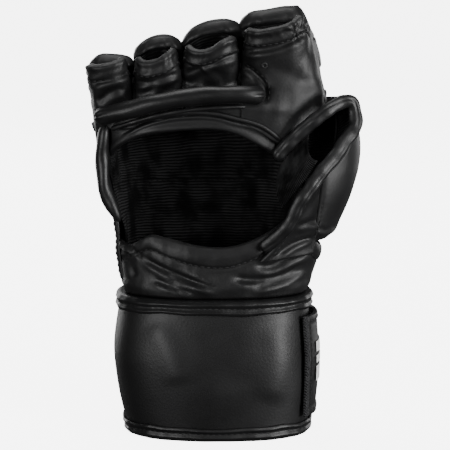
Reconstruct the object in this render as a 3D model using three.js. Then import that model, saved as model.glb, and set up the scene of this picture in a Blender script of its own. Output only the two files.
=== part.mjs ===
// A right-hand open-palm training glove, standing on its cuff with the palm towards -Y and the thumb towards +X.
// Millimetres, +Z up, origin under the middle of the glove on the surface that it stands on.
//
// Every sheet is a slab between two offsets of the cavity that the hand goes into, so neighbouring layers nest
// without touching. Fingers, thumb, wrist and strap are cut free of each other along planes through their hinges.
import * as THREE from "three";

const TURN = Math.PI / 180;
const SQUARENESS = 0.83; // 1 makes the cross-sections ellipses, and less makes them squarer

// ---- Layers, as offsets outwards from the cavity ----
const LINER = [0, 1.3];
const LAYER_GAP = 0.3;
const COVER_THICK = 1.6;
const CUFF_FOAM = [1.6, 4.5];
const CUFF_COVER = [4.8, 6.2];
const LOOP_PATCH = [6.6, 7.2];
const HOOK_TAPE = [7.5, 8.2];
const STRAP = [8.5, 10.1];
const STRAP_MARK = [10.4, 10.8];
const PALM_SHEET = [2.6, 4.4];
const PALM_LINING = [0.9, 2.3];
const ARCH_SHEET = [0.5, 2.2];

// ---- Heights ----
const CUFF_TOP = 71;
const BINDING_HEIGHT = 7;
const BINDING_THICK = 1.5;
const BINDING_GAP = 0.6;
const STRAP_BOTTOM = 10;
const STRAP_TOP = 61;
const NECK_SIDE = 73.5; // the lowest edge of the hand section, beside the wrist hinge
const NECK_SLOPE = 0.24; // how fast that edge rises away from the hinge, so that the wrist can bend
const SLEEVE_BOTTOM = 58;
const FOAM_BOTTOM = 85;
const FOAM_EASE = 1.2; // above 1, the foam on the back thins faster towards the sides
const LINER_SEAM = 125;
const HEEL_LINING_DROP = 2.5;
const HEEL_LINING_RAISE = 4;
const NECK_OFFSET = 6; // the offset at which the hand section's lowest edge is worked out
const LINER_OVERLAP = 6; // the least height of the upper liner over its seam

// ---- Angles that the hand's sheets span: 0 is the thumb side, 90 the back, 180 the little finger's side ----
const BACK_SPAN = [22, 193];
const INNER_SPAN = [25, 190];
const HEEL_SPAN = [197, 377];
const HEEL_LINING_SPAN = [200, 374];
const ARCH_SPAN = [201, 297];
const INDEX_PANEL_SPAN = [299, 350];

// ---- Wrist sleeve, which eases out from the wrist to the hand ----
const SLEEVE_TUCK = -6.3;
const SLEEVE_EASE = 5.6;
const SLEEVE_EASE_FROM = 0.6; // the share of its height at which it starts to ease out
const SLEEVE_THICK = 1.2;

// ---- Hinges ----
const KNUCKLE_DROP = 3; // clearance between the back of the hand and the finger pads
const KNUCKLE_LEVEL = 165; // the height and offset at which the hand's upper edge is worked out
const KNUCKLE_OFFSET = 8;
const SWING_FRONT = 5; // the upper edge drops in front of this distance behind the hinges,
const SWING_EASE = 6; // over this distance,
const SWING_DROP = 14; // by this much
const FINGER_LEAN = 15 * TURN;

// Rows of height, centre x, centre y, half width, depth to the palm and depth to the back.
const cavityAt = stations([
  [0, -3.6, 0, 39, 24.8, 24.8],
  [39, -6, 0, 43, 27.8, 27.8],
  [71, -5.2, 0, 41.5, 25.3, 25.3],
  [92, -2.8, -0.5, 45.9, 23.5, 22],
  [110, -3.6, -1, 46, 21.5, 20.5],
  [133, -6.5, -2, 47.5, 19.5, 19],
  [163, -6.5, -5, 51, 16, 17],
  [178, -6, -9, 51, 15, 16],
]);
// Rows of height, foam at the sides and foam at the back.
const foamAt = stations([
  [72, 0.6, 0.6],
  [85, 1.6, 4],
  [106, 2.4, 10],
  [143, 3.8, 16.5],
  [166, 3.6, 13.5],
]);
// Rows of x and the height of the knuckle hinge there.
const knuckleAt = stations([
  [-68, 161],
  [-55, 164],
  [-32, 169],
  [-6, 173],
  [28, 175],
  [50, 175],
]);
// Rows of angle round the hand and the height of the heel panel's hem there.
const heelHemAt = stations([
  [195, 101],
  [215, 99],
  [270, 96],
  [293, 98.5],
  [305, 101],
  [318, 95],
  [335, 93],
  [378, 92],
]);
// Rows of angle, and the lower and upper edges of the band under the grip bar.
const archAt = stations([
  [196, 132, 144],
  [205, 139, 150],
  [222, 149, 161],
  [262, 159, 168],
  [285, 156, 168],
  [297, 151, 166],
]);
// Rows of angle, and the lower and upper edges of the panel beside the index finger.
const indexPanelAt = stations([
  [298.5, 149, 170],
  [315, 155, 170],
  [335, 166, 170],
  [352, 169, 172],
]);
// Rows of height, reach to the thumb side and reach to the front of the thumb pad's outside.
const thumbAt = stations([
  [99, 13, 22],
  [109, 18.5, 23],
  [122, 22.8, 24],
  [140, 25.5, 24],
  [154, 24.5, 23],
  [165, 22, 21],
]);
// Rows of angle round the thumb and the height of the pad's upper edge there.
const thumbTopAt = stations([
  [-72, 130],
  [-45, 142],
  [-20, 156],
  [0, 162],
  [28, 166],
]);
const THUMB_CENTRE = new THREE.Vector2(40, 2);
const THUMB_SPAN = [-72, 28];
const THUMB_BOTTOM = 100;
const THUMB_COVER = [-1.6, 0];
const THUMB_FOAM = [-7.4, -2];
const THUMB_LINING = [-8.8, -7.6];

// The fingers, with the hinge's height, the centre and half width at the hinge and at the tip, and how far each
// wall reaches up from the hinge.
const HINGE_Y = -4;
const FINGERS = [
  { name: "pinky", hinge: 164, from: [-55, 10.5], to: [-57.2, 10.7], front: 26, back: 20, depth: 10.5, pad: 11 },
  { name: "ring", hinge: 169, from: [-32.2, 11.5], to: [-33.8, 11.7], front: 25, back: 23.5, depth: 10.5, pad: 12 },
  { name: "middle", hinge: 173, from: [-6.2, 13.4], to: [-7.2, 14], front: 26, back: 27.5, depth: 11, pad: 13 },
  { name: "index", hinge: 175, from: [27.8, 19.6], to: [24.3, 16.2], front: 33, back: 31, depth: 11.5, pad: 13 },
];
const STALL_START = 2.5;
const STALL_WALL = 1.7;
const FINGER_LINING = [0, 1.2];
const PAD_COVER = 1.4;
const PAD_TAPER = 0.62; // how much of the pad's thickness is left at the fingertip end
const PAD_ROUNDING = 0.5; // 1 makes the pad's section an ellipse, and less makes it a block
const PAD_START = 1;
const STALL_SPAN = [192, 348];
const FINGER_LINING_SPAN = [16, 164];
const FINGER_LINING_SHORT = 1.5; // how far the lining stops below the pad's end
const PAD_FOAM_SPAN = [4, 176];
const PAD_COVER_SPAN = [2, 178];

// ---- Strap, as angles round the cuff ----
const TAPE_INSET = 3; // how far the hook and loop tapes stop short of the strap's edges
const LOOP_SPAN = [-24, 120];
const STRAP_BASE = [128, 150];
const STRAP_MIDDLE = [60, 124];
const STRAP_END = [-27, 56];
const STRAP_END_TAPE = [-31, -27.6];
const END_TAPE = [8.1, 10.1];
const MARK_BARS = [-17, 3];
const MARK_HEIGHTS = [27, 47];

// ---- Rolled edges ----
const BAR_RADIUS = 4.2;
const BAR_WALL = 1.2;
const BAR_PATH = [
  [-60.5, -21.3, 156],
  [-49, -25.5, 162],
  [-33, -27.5, 167.2],
  [-15, -29, 170.8],
  [5, -29, 172],
  [18, -27, 170.5],
];
const PINKY_HEM_PATH = [
  [-53.6, -13.6, 104],
  [-56.6, -13.4, 120],
  [-59.6, -13.4, 136],
];
const PINKY_HEM = [2.2, 1.6];
const RIM_PATH = [
  [28, -23, 144.5],
  [42, -25, 157],
  [54, -22, 166],
  [62, -15, 166.5],
  [64, -16, 158],
  [57.5, -23.5, 147],
  [46.5, -32.5, 134],
  [36.5, -35, 122],
  [28.5, -34, 108],
];
const RIM = [3.2, 1.8];
const WEB_FAR = [
  [27, -23.2, 137.5],
  [30.5, -23.2, 141.5],
  [43, -24.6, 152],
];
const WEB_NEAR = [
  [30.5, -32, 119.5],
  [35.5, -32, 127],
  [43.5, -31.5, 138],
];
const THUMB_PANEL_RIM = [
  [33.5, -31.4, 106],
  [41, -32.2, 120],
  [48.5, -30.6, 132.5],
];
const THUMB_PANEL_SEAM = [
  [44.9, -20.9, 102.5],
  [45.7, -21.9, 116],
  [52, -23.4, 134],
];
const SHEET_THICK = 1.6;

// ---- Materials ----
const MATERIALS = {
  leather: { color: 0x1b1b1c, roughness: 0.48, metalness: 0 },
  foam: { color: 0x3a3a3c, roughness: 0.95, metalness: 0 },
  mesh: { color: 0x101011, roughness: 0.9, metalness: 0 },
  tape: { color: 0x161617, roughness: 0.95, metalness: 0 },
  print: { color: 0xf0f0ee, roughness: 0.5, metalness: 0 },
};

// A smooth function through the rows of a table, each row a position and its values.
function stations(rows) {
  const places = new Float32Array(rows.map((row) => row[0]));
  const values = new Float32Array(rows.flatMap((row) => row.slice(1)));
  const curve = new THREE.CubicInterpolant(places, values, rows[0].length - 1);
  const last = places[places.length - 1];
  return (place) => [...curve.evaluate(THREE.MathUtils.clamp(place, places[0], last))];
}

const mix = (range, share) => range[0] + (range[1] - range[0]) * share;
const signedPower = (value) => Math.sign(value) * Math.abs(value) ** SQUARENESS;

// A point at an angle in degrees, a height and an offset out from the cavity. 0 is the thumb side, 90 the back.
function handPoint(angle, height, offset) {
  const [x, y, width, front, back] = cavityAt(height);
  const across = signedPower(Math.cos(angle * TURN));
  const deep = signedPower(Math.sin(angle * TURN));
  return new THREE.Vector3(
    x + (width + offset) * across,
    y + ((deep < 0 ? front : back) + offset) * deep,
    height,
  );
}

// The foam's thickness on the back of the hand, which thins to the side allowance towards the palm.
function foamThickness(angle, height) {
  const [side, back] = foamAt(height);
  return side + (back - side) * Math.max(0, Math.sin(angle * TURN)) ** FOAM_EASE;
}

// The lower edge of the hand section, which rises with the distance from the wrist hinge.
function neckHeight(angle) {
  return NECK_SIDE + NECK_SLOPE * Math.abs(handPoint(angle, CUFF_TOP, NECK_OFFSET).y);
}

// The upper edge of the back of the hand, under the finger hinges. It drops in front of them, where the fingers swing.
function knuckleHeight(angle) {
  const point = handPoint(angle, KNUCKLE_LEVEL, KNUCKLE_OFFSET);
  const front = THREE.MathUtils.clamp((HINGE_Y + SWING_FRONT - point.y) / SWING_EASE, 0, 1);
  return knuckleAt(point.x)[0] - KNUCKLE_DROP - front * SWING_DROP;
}

// A point on a finger's cavity: angle round it, distance up from the hinge, and offset outwards.
function fingerPoint(finger, angle, up, offset) {
  const share = up / finger.back;
  const half = mix([finger.from[1], finger.to[1]], share) - STALL_WALL;
  const across = signedPower(Math.cos(angle * TURN)) * (half + offset);
  const deep = signedPower(Math.sin(angle * TURN)) * (finger.depth + offset);
  return fingerPlace(finger, across, deep, up);
}

// A place in a finger's own frame: across it, behind its centre line and up from its hinge.
function fingerPlace(finger, across, deep, up) {
  return new THREE.Vector3(
    mix([finger.from[0], finger.to[0]], up / finger.back) + across,
    HINGE_Y + deep * Math.cos(FINGER_LEAN) - up * Math.sin(FINGER_LEAN),
    finger.hinge + deep * Math.sin(FINGER_LEAN) + up * Math.cos(FINGER_LEAN),
  );
}

// A point on the outside of the thumb pad.
function thumbPoint(angle, height, offset) {
  const [side, front] = thumbAt(height);
  return new THREE.Vector3(
    THUMB_CENTRE.x + (side + offset) * Math.cos(angle * TURN),
    THUMB_CENTRE.y + (front + offset) * Math.sin(angle * TURN),
    height,
  );
}

// A closed geometry from points and triangle indices, turned so that its faces point outwards.
function closed(points, faces) {
  let volume = 0;
  for (let i = 0; i < faces.length; i += 3) {
    const [a, b, c] = faces.slice(i, i + 3).map((k) => points[k]);
    volume += a.dot(b.clone().cross(c));
  }
  if (volume < 0) faces.reverse();
  const geometry = new THREE.BufferGeometry().setFromPoints(points);
  geometry.setIndex(faces);
  geometry.computeVertexNormals();
  return geometry;
}

// A solid between two offsets of a surface. at(u, v, offset) is a point, with u and v from 0 to 1, and offsets(u, v)
// gives the inner and outer offset there. A slab that wraps is a ring round u.
function slab(at, offsets, across, along, wraps = false) {
  const columns = wraps ? across : across + 1;
  const points = [];
  for (const side of [1, 0])
    for (let j = 0; j <= along; j++)
      for (let i = 0; i < columns; i++) {
        const [u, v] = [i / across, j / along];
        points.push(at(u, v, offsets(u, v)[side]));
      }
  const id = (side, i, j) => (side * (along + 1) + j) * columns + (i % columns);
  const faces = [];
  const quad = (a, b, c, d) => faces.push(a, b, c, a, c, d);
  for (let i = 0; i < across; i++) {
    for (let j = 0; j < along; j++) {
      quad(id(0, i, j), id(0, i + 1, j), id(0, i + 1, j + 1), id(0, i, j + 1));
      quad(id(1, i, j), id(1, i, j + 1), id(1, i + 1, j + 1), id(1, i + 1, j));
    }
    quad(id(0, i, 0), id(1, i, 0), id(1, i + 1, 0), id(0, i + 1, 0));
    quad(id(0, i, along), id(0, i + 1, along), id(1, i + 1, along), id(1, i, along));
  }
  for (let j = 0; j < along && !wraps; j++) {
    quad(id(0, 0, j), id(0, 0, j + 1), id(1, 0, j + 1), id(1, 0, j));
    quad(id(0, across, j), id(1, across, j), id(1, across, j + 1), id(0, across, j + 1));
  }
  return closed(points, faces);
}

// A section of points (offset, height) carried round the cuff.
function cuffRing(section, steps) {
  const points = [];
  for (let i = 0; i < steps; i++)
    for (const [offset, height] of section) points.push(handPoint((i / steps) * 360, height, offset));
  const faces = [];
  const size = section.length;
  for (let i = 0; i < steps; i++)
    for (let k = 0; k < size; k++) {
      const [a, b] = [i * size + k, i * size + ((k + 1) % size)];
      const [c, d] = [((i + 1) % steps) * size + ((k + 1) % size), ((i + 1) % steps) * size + k];
      faces.push(a, b, c, a, c, d);
    }
  return closed(points, faces);
}

const curveThrough = (places) => new THREE.CatmullRomCurve3(places.map((place) => new THREE.Vector3(...place)));

// A point on a rolled edge: u round the section, v along the path. The section's first radius lies across the
// direction given, and the second is square to it.
function rollPoint(curve, direction, [wide, thick], u, v, offset) {
  const along = curve.getTangentAt(v);
  const out = new THREE.Vector3().crossVectors(along, direction).normalize();
  const side = new THREE.Vector3().crossVectors(out, along).normalize();
  return curve
    .getPointAt(v)
    .addScaledVector(out, Math.cos(u * 2 * Math.PI) * (wide + offset))
    .addScaledVector(side, Math.sin(u * 2 * Math.PI) * (thick + offset));
}

// A solid rolled edge along a path, with flat ends.
function roll(places, direction, radii, sides, steps) {
  const curve = curveThrough(places);
  const points = [];
  for (let j = 0; j <= steps; j++)
    for (let i = 0; i < sides; i++) points.push(rollPoint(curve, direction, radii, i / sides, j / steps, 0));
  const faces = [];
  for (let i = 0; i < sides; i++) {
    const next = (i + 1) % sides;
    for (let j = 0; j < steps; j++) {
      const [a, b] = [j * sides + i, j * sides + next];
      faces.push(a, b, b + sides, a, b + sides, a + sides);
    }
    if (i > 0 && i < sides - 1) {
      faces.push(0, i + 1, i);
      faces.push(steps * sides, steps * sides + i, steps * sides + i + 1);
    }
  }
  return closed(points, faces);
}

// A sheet between two edge curves, thickened along a direction.
function sheetBetween(edge, otherEdge, direction, thick, across, along) {
  const [first, second] = [curveThrough(edge), curveThrough(otherEdge)];
  const at = (u, v, offset) => first.getPointAt(v).lerp(second.getPointAt(v), u).addScaledVector(direction, offset);
  return slab(at, () => [0, thick], across, along);
}

const glove = new THREE.Group();

function add(name, kind, geometry) {
  const mesh = new THREE.Mesh(geometry, new THREE.MeshStandardMaterial(MATERIALS[kind]));
  mesh.name = name;
  glove.add(mesh);
}

// A sheet that follows the hand between two angles and two heights, which may depend on the angle.
function handSheet(angles, low, high, offsets, across, along) {
  const at = (u, v, offset) => {
    const angle = mix(angles, u);
    return handPoint(angle, mix([low(angle), high(angle)], v), offset);
  };
  return slab(at, offsets, across, along);
}

const level = (height) => () => height;
const even = (range) => () => range;

function makeCuff() {
  const ring = (range, low, high, across, along) =>
    slab((u, v, offset) => handPoint(u * 360, mix([low, high], v), offset), even(range), across, along, true);
  const inset = BINDING_THICK + LAYER_GAP;
  add("cuff_liner", "mesh", ring(LINER, inset, CUFF_TOP - inset, 30, 4));
  add("cuff_foam", "foam", ring(CUFF_FOAM, inset, CUFF_TOP - inset, 30, 4));
  add("cuff_cover", "leather", ring(CUFF_COVER, inset, CUFF_TOP - inset, 30, 4));
  const [inside, outside] = [-BINDING_GAP, CUFF_COVER[1] + BINDING_GAP];
  const binding = (edge, sign) => [
    [inside - BINDING_THICK, edge],
    [outside + BINDING_THICK, edge],
    [outside + BINDING_THICK, edge + sign * BINDING_HEIGHT],
    [outside, edge + sign * BINDING_HEIGHT],
    [outside, edge + sign * BINDING_THICK],
    [inside, edge + sign * BINDING_THICK],
    [inside, edge + sign * BINDING_HEIGHT],
    [inside - BINDING_THICK, edge + sign * BINDING_HEIGHT],
  ];
  add("cuff_bottom_binding", "leather", cuffRing(binding(0, 1), 30));
  add("cuff_top_binding", "leather", cuffRing(binding(CUFF_TOP, -1), 30));
}

function makeStrap() {
  const heights = [level(STRAP_BOTTOM), level(STRAP_TOP)];
  const tapeHeights = [level(STRAP_BOTTOM + TAPE_INSET), level(STRAP_TOP - TAPE_INSET)];
  const part = (name, kind, angles, range, rows = heights, across = 8) =>
    add(name, kind, handSheet(angles, rows[0], rows[1], even(range), across, 4));
  const inset = ([start, end]) => [start + TAPE_INSET, end - TAPE_INSET];
  part("loop_patch", "tape", LOOP_SPAN, LOOP_PATCH, tapeHeights, 12);
  part("strap_base", "leather", STRAP_BASE, STRAP, heights, 4);
  part("strap_middle", "leather", STRAP_MIDDLE, STRAP);
  part("strap_middle_hooks", "tape", inset(STRAP_MIDDLE), HOOK_TAPE, tapeHeights);
  part("strap_end", "leather", STRAP_END, STRAP);
  part("strap_end_hooks", "tape", inset(STRAP_END), HOOK_TAPE, tapeHeights);
  part("strap_end_tape", "tape", STRAP_END_TAPE, END_TAPE, heights, 1);
  part("strap_mark", "print", MARK_BARS, STRAP_MARK, MARK_HEIGHTS.map(level), 3);
}

function makeHand() {
  const cover = (u, v) => [0, COVER_THICK].map((extra) => backFoam(u, v) + LAYER_GAP + extra);
  const backHeights = [neckHeight, knuckleHeight];
  const backFoam = (u, v) => {
    const angle = mix(BACK_SPAN, u);
    const height = mix([backHeights[0](angle), backHeights[1](angle)], v);
    return LINER[1] + LAYER_GAP + foamThickness(angle, height);
  };
  add("back_cover", "leather", handSheet(BACK_SPAN, ...backHeights, cover, 18, 7));

  const innerTop = (angle) => Math.max(LINER_SEAM + LINER_OVERLAP, knuckleHeight(angle));
  const foam = (low, high) =>
    handSheet(INNER_SPAN, low, high, (u, v) => {
      const angle = mix(INNER_SPAN, u);
      const start = LINER[1] + LAYER_GAP;
      return [start, start + foamThickness(angle, mix([low(angle), high(angle)], v)) - LAYER_GAP];
    }, 12, 3);
  add("back_foam", "foam", foam(level(FOAM_BOTTOM), level(LINER_SEAM - LAYER_GAP)));
  add("knuckle_foam", "foam", foam(level(LINER_SEAM), innerTop));
  const seam = level(LINER_SEAM - LAYER_GAP);
  add("back_liner_lower", "mesh", handSheet(INNER_SPAN, level(FOAM_BOTTOM), seam, even(LINER), 12, 3));
  add("back_liner_upper", "mesh", handSheet(INNER_SPAN, level(LINER_SEAM), innerTop, even(LINER), 12, 3));

  const sleeve = (u, v) => {
    const offset = SLEEVE_TUCK + SLEEVE_EASE * THREE.MathUtils.smoothstep(v, SLEEVE_EASE_FROM, 1);
    return [offset - SLEEVE_THICK, offset];
  };
  const sleeveAt = (u, v, offset) => handPoint(u * 360, mix([SLEEVE_BOTTOM, FOAM_BOTTOM - 1], v), offset);
  add("wrist_sleeve", "mesh", slab(sleeveAt, sleeve, 24, 5, true));
}

function makePalm() {
  const heelTop = (angle) => heelHemAt(angle)[0];
  add("heel_panel", "leather", handSheet(HEEL_SPAN, neckHeight, heelTop, even(PALM_SHEET), 22, 3));
  const liningTop = (angle) => heelTop(angle) - HEEL_LINING_DROP;
  const liningLow = (angle) => neckHeight(angle) + HEEL_LINING_RAISE;
  add("heel_lining", "mesh", handSheet(HEEL_LINING_SPAN, liningLow, liningTop, even(PALM_LINING), 20, 2));

  const [archLow, archHigh] = [0, 1].map((k) => (angle) => archAt(angle)[k]);
  add("arch_band", "leather", handSheet(ARCH_SPAN, archLow, archHigh, even(ARCH_SHEET), 12, 2));
  const [sideLow, sideHigh] = [0, 1].map((k) => (angle) => indexPanelAt(angle)[k]);
  add("index_side_panel", "leather", handSheet(INDEX_PANEL_SPAN, sideLow, sideHigh, even(ARCH_SHEET), 8, 2));
  add("pinky_edge_hem", "leather", roll(PINKY_HEM_PATH, new THREE.Vector3(1, 0, 0), PINKY_HEM, 8, 5));

  const bar = curveThrough(BAR_PATH);
  const up = new THREE.Vector3(0, 0, 1);
  const barAt = (u, v, offset) => rollPoint(bar, up, [0, 0], u, v, offset);
  add("grip_bar_cover", "leather", slab(barAt, even([BAR_RADIUS - BAR_WALL, BAR_RADIUS]), 10, 10, true));
  const coreRadius = BAR_RADIUS - BAR_WALL - LAYER_GAP;
  add("grip_bar_core", "foam", roll(BAR_PATH, up, [coreRadius, coreRadius], 8, 10));
}

function makeFinger(finger) {
  const stall = (u, v, offset) =>
    fingerPoint(finger, mix(STALL_SPAN, u), mix([STALL_START, finger.front], v), offset);
  add(`${finger.name}_stall`, "leather", slab(stall, even([0, STALL_WALL]), 10, 2));
  const liningEnds = [STALL_START, finger.back - FINGER_LINING_SHORT];
  const lining = (u, v, offset) =>
    fingerPoint(finger, mix(FINGER_LINING_SPAN, u), mix(liningEnds, v), offset);
  add(`${finger.name}_lining`, "mesh", slab(lining, even(FINGER_LINING), 6, 2));

  // The pad is a rounded block behind the lining. Its cover wraps the back and both sides.
  const start = finger.depth + FINGER_LINING[1] + LAYER_GAP;
  const padAt = (angle, up, offset) => {
    const share = up / finger.back;
    const half = mix([finger.from[1], finger.to[1]], share) - PAD_COVER - LAYER_GAP;
    const thick = mix([finger.pad, finger.pad * PAD_TAPER], share ** 2);
    const across = signedPower(Math.cos(angle * TURN)) * (half + offset);
    const deep = (thick + offset) * Math.abs(Math.sin(angle * TURN)) ** PAD_ROUNDING;
    return fingerPlace(finger, across, start + deep, up);
  };
  const ends = [PAD_START, finger.back];
  const foam = (u, v, depth) => {
    const outside = padAt(mix(PAD_FOAM_SPAN, u), mix(ends, v), 0);
    const inside = fingerPlace(finger, 0, start, mix(ends, v));
    return depth ? outside : outside.clone().setComponent(1, inside.y).setComponent(2, inside.z);
  };
  add(`${finger.name}_foam`, "foam", slab(foam, even([0, 1]), 8, 2));
  const cover = (u, v, offset) => padAt(mix(PAD_COVER_SPAN, u), mix(ends, v), offset);
  add(`${finger.name}_pad_cover`, "leather", slab(cover, even([LAYER_GAP, LAYER_GAP + PAD_COVER]), 10, 2));
}

function makeThumb() {
  const at = (u, v, offset) => {
    const angle = mix(THUMB_SPAN, u);
    return thumbPoint(angle, mix([THUMB_BOTTOM, thumbTopAt(angle)[0]], v), offset);
  };
  const sheet = (range, across) => slab(at, even(range), across, 4);
  add("thumb_pad_cover", "leather", sheet(THUMB_COVER, 9));
  add("thumb_foam", "foam", sheet(THUMB_FOAM, 9));
  add("thumb_lining", "mesh", sheet(THUMB_LINING, 9));
  const forward = new THREE.Vector3(0, 1, 0);
  add("thumb_rim", "leather", roll(RIM_PATH, forward, RIM, 8, 26));
  add("thumb_web", "mesh", sheetBetween(WEB_NEAR, WEB_FAR, forward, SHEET_THICK, 4, 3));
  add("thumb_palm_panel", "leather", sheetBetween(THUMB_PANEL_RIM, THUMB_PANEL_SEAM, forward, SHEET_THICK, 3, 5));
}

makeCuff();
makeStrap();
makeHand();
makePalm();
FINGERS.forEach(makeFinger);
makeThumb();

export default glove;
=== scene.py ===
"""A right-hand open-palm training glove, standing on its cuff, palm towards -Y and thumb towards +X.

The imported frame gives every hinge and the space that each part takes. This script lays leather,
padding, linings, tapes and stitches over it. Lengths are in millimetres until a mesh is made, and
angles round the hand are in degrees: 0 is the thumb side, 90 the back and 270 the palm.
"""

import math

import bpy
import numpy as np
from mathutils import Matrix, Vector


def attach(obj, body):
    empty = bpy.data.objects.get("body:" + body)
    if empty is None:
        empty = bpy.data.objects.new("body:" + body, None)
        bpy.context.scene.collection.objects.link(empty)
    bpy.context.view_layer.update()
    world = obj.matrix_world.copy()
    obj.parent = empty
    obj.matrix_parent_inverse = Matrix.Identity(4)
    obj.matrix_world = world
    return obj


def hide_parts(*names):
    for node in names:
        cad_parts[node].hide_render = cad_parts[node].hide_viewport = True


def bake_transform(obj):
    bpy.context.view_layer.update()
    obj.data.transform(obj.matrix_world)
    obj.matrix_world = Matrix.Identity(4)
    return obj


bl_info = {
    "name": "Training glove",
    "version": (1, 0, 0),
    "blender": (4, 5, 0),
    "location": "View3D > Sidebar > Glove",
    "description": "Lays the leather, padding, linings and stitches of a training glove over its frame",
    "category": "Add Mesh",
}

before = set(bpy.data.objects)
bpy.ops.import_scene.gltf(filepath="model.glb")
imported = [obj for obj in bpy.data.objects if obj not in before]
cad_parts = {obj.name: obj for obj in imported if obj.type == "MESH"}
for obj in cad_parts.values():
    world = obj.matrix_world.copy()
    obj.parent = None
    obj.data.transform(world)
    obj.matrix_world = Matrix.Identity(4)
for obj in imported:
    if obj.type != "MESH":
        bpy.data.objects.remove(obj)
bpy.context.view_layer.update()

MM = 0.001
SQUARENESS = 0.83  # 1 makes the cross-sections ellipses, and less makes them squarer
SEED = 7
HAND_AXIS = np.array([-5, -2, 0])
RIB_PITCH = 1.5  # from one rib of the linings to the next
RIB_HEIGHT = 0.12
LINING_THICK = 1.3
CLOTH_THICK = 1.2  # the thinner linings of the wrist, the fingers and the thumb
WEAVE_PITCH = 1.4
CUFF_TOP = 71


# ---- Smooth tables and curves ----


def smooth_table(rows):
    """A smooth function through rows of a place and its values: cubic pieces whose slopes at the
    rows are the mean slopes to the rows beside them."""
    rows = np.array(rows, float)
    places = rows[:, 0]
    values = rows[:, 1:]
    slopes = np.gradient(values, places, axis=0)

    def at(place):
        place = np.clip(np.asarray(place, float), places[0], places[-1])
        k = np.clip(np.searchsorted(places, place) - 1, 0, len(places) - 2)
        step = (places[k + 1] - places[k])[..., None]
        t = (place - places[k])[..., None] / step
        rise = t * t * (3 - 2 * t)
        early = t * (1 - t) ** 2 * step
        late = t * t * (t - 1) * step
        return values[k] * (1 - rise) + values[k + 1] * rise + slopes[k] * early + slopes[k + 1] * late

    return at


def lengths(points, axis):
    """The distance from the start, along one axis of a grid of points."""
    steps = np.linalg.norm(np.diff(points, axis=axis), axis=-1)
    start = np.zeros_like(np.take(steps, [0], axis))
    return np.concatenate([start, np.cumsum(steps, axis)], axis)


def read_at(wanted, reach, rows):
    """The columns of rows, each read at wanted places along reach."""
    return np.stack([np.interp(wanted, reach, column) for column in rows.T], -1)


def unit(ways):
    return ways / np.linalg.norm(ways, axis=-1)[..., None]


def curve(places, count):
    """count points evenly spaced along a smooth curve through the places."""
    places = np.array(places, float)
    reach = lengths(places, 0)
    fine = smooth_table(np.column_stack([reach, places]))(np.linspace(0, reach[-1], 400))
    length = lengths(fine, 0)
    return read_at(np.linspace(0, length[-1], count), length, fine)


def step_up(low, high, value):
    """0 below low, 1 above high, and a smooth rise between them."""
    t = np.clip((value - low) / (high - low), 0, 1)
    return t * t * (3 - 2 * t)


def bell(value, width):
    return np.exp(-((value / width) ** 2))


def mix(low, high, share):
    return low + (high - low) * share


def signed_power(value, power=SQUARENESS):
    return np.sign(value) * np.abs(value) ** power


def rounding(near, least=0.0):
    """A quarter circle's height as near goes from 0 to 1, and never less than least."""
    near = np.clip(near, 0, 1)
    return np.clip(np.sqrt(1 - (1 - near) ** 2), least, 1)


# ---- The hand's shape, the same as the frame's ----

# Rows of height, centre x, centre y, half width, depth to the palm and depth to the back.
cavity_at = smooth_table([
    [0, -3.6, 0, 39, 24.8, 24.8],
    [39, -6, 0, 43, 27.8, 27.8],
    [71, -5.2, 0, 41.5, 25.3, 25.3],
    [92, -2.8, -0.5, 45.9, 23.5, 22],
    [110, -3.6, -1, 46, 21.5, 20.5],
    [133, -6.5, -2, 47.5, 19.5, 19],
    [163, -6.5, -5, 51, 16, 17],
    [178, -6, -9, 51, 15, 16],
])
# Rows of height, foam at the sides and foam at the back.
foam_at = smooth_table([[72, 0.6, 0.6], [85, 1.6, 4], [106, 2.4, 10], [143, 3.8, 16.5], [166, 3.6, 13.5]])
# Rows of x and the height of the knuckle hinge there.
knuckle_at = smooth_table([[-68, 161], [-55, 164], [-32, 169], [-6, 173], [28, 175], [50, 175]])
# Rows of angle and the height of the heel panel's hem there.
heel_hem_at = smooth_table([
    [195, 98],
    [213, 96.5],
    [223, 99.5],
    [232, 102.3],
    [245, 101],
    [262, 97.8],
    [270, 97],
    [285, 100.6],
    [293, 103.6],
    [303, 108],
    [311, 111],
    [322, 104],
    [340, 97],
    [379, 95],
])
# Rows of angle and the hem's width there.
heel_hem_width = smooth_table([[195, 5], [225, 6.5], [245, 9.6], [270, 10.5], [300, 9.5], [379, 8]])
# Rows of angle, and the lower and upper edges of the band under the grip bar.
arch_at = smooth_table([
    [195, 139.5, 155],
    [205, 142.8, 157.5],
    [215, 145.6, 160],
    [235, 150.6, 164.5],
    [250, 152.6, 167.5],
    [262, 153.6, 169],
    [270, 153.8, 170],
    [280, 151.4, 171],
    [290, 147, 169.5],
    [302, 141.6, 160],
])
# Rows of angle, and the lower and upper edges of the panel beside the index finger.
index_panel_at = smooth_table([[297, 144, 171], [315, 152, 172.5], [335, 161, 173.5], [353, 164, 174]])
# Rows of height, reach to the thumb side and reach to the front of the thumb pad.
thumb_at = smooth_table([
    [95, 9, 20.5],
    [99, 13, 22],
    [109, 18.5, 23],
    [122, 22.8, 24],
    [140, 25.5, 24],
    [154, 24.5, 23],
    [165, 22, 21],
])
# Rows of angle round the thumb, and the heights of the pad's lower and upper edges there.
thumb_edges = smooth_table([
    [-74, 98, 131],
    [-45, 95.6, 142],
    [-20, 95.6, 156],
    [0, 97, 162],
    [30, 100, 166.5],
])
THUMB_CENTRE = (40, 2)
THUMB_MIDDLE = (*THUMB_CENTRE, 130)
THUMB_PAD_THICK = 7.2

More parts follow.
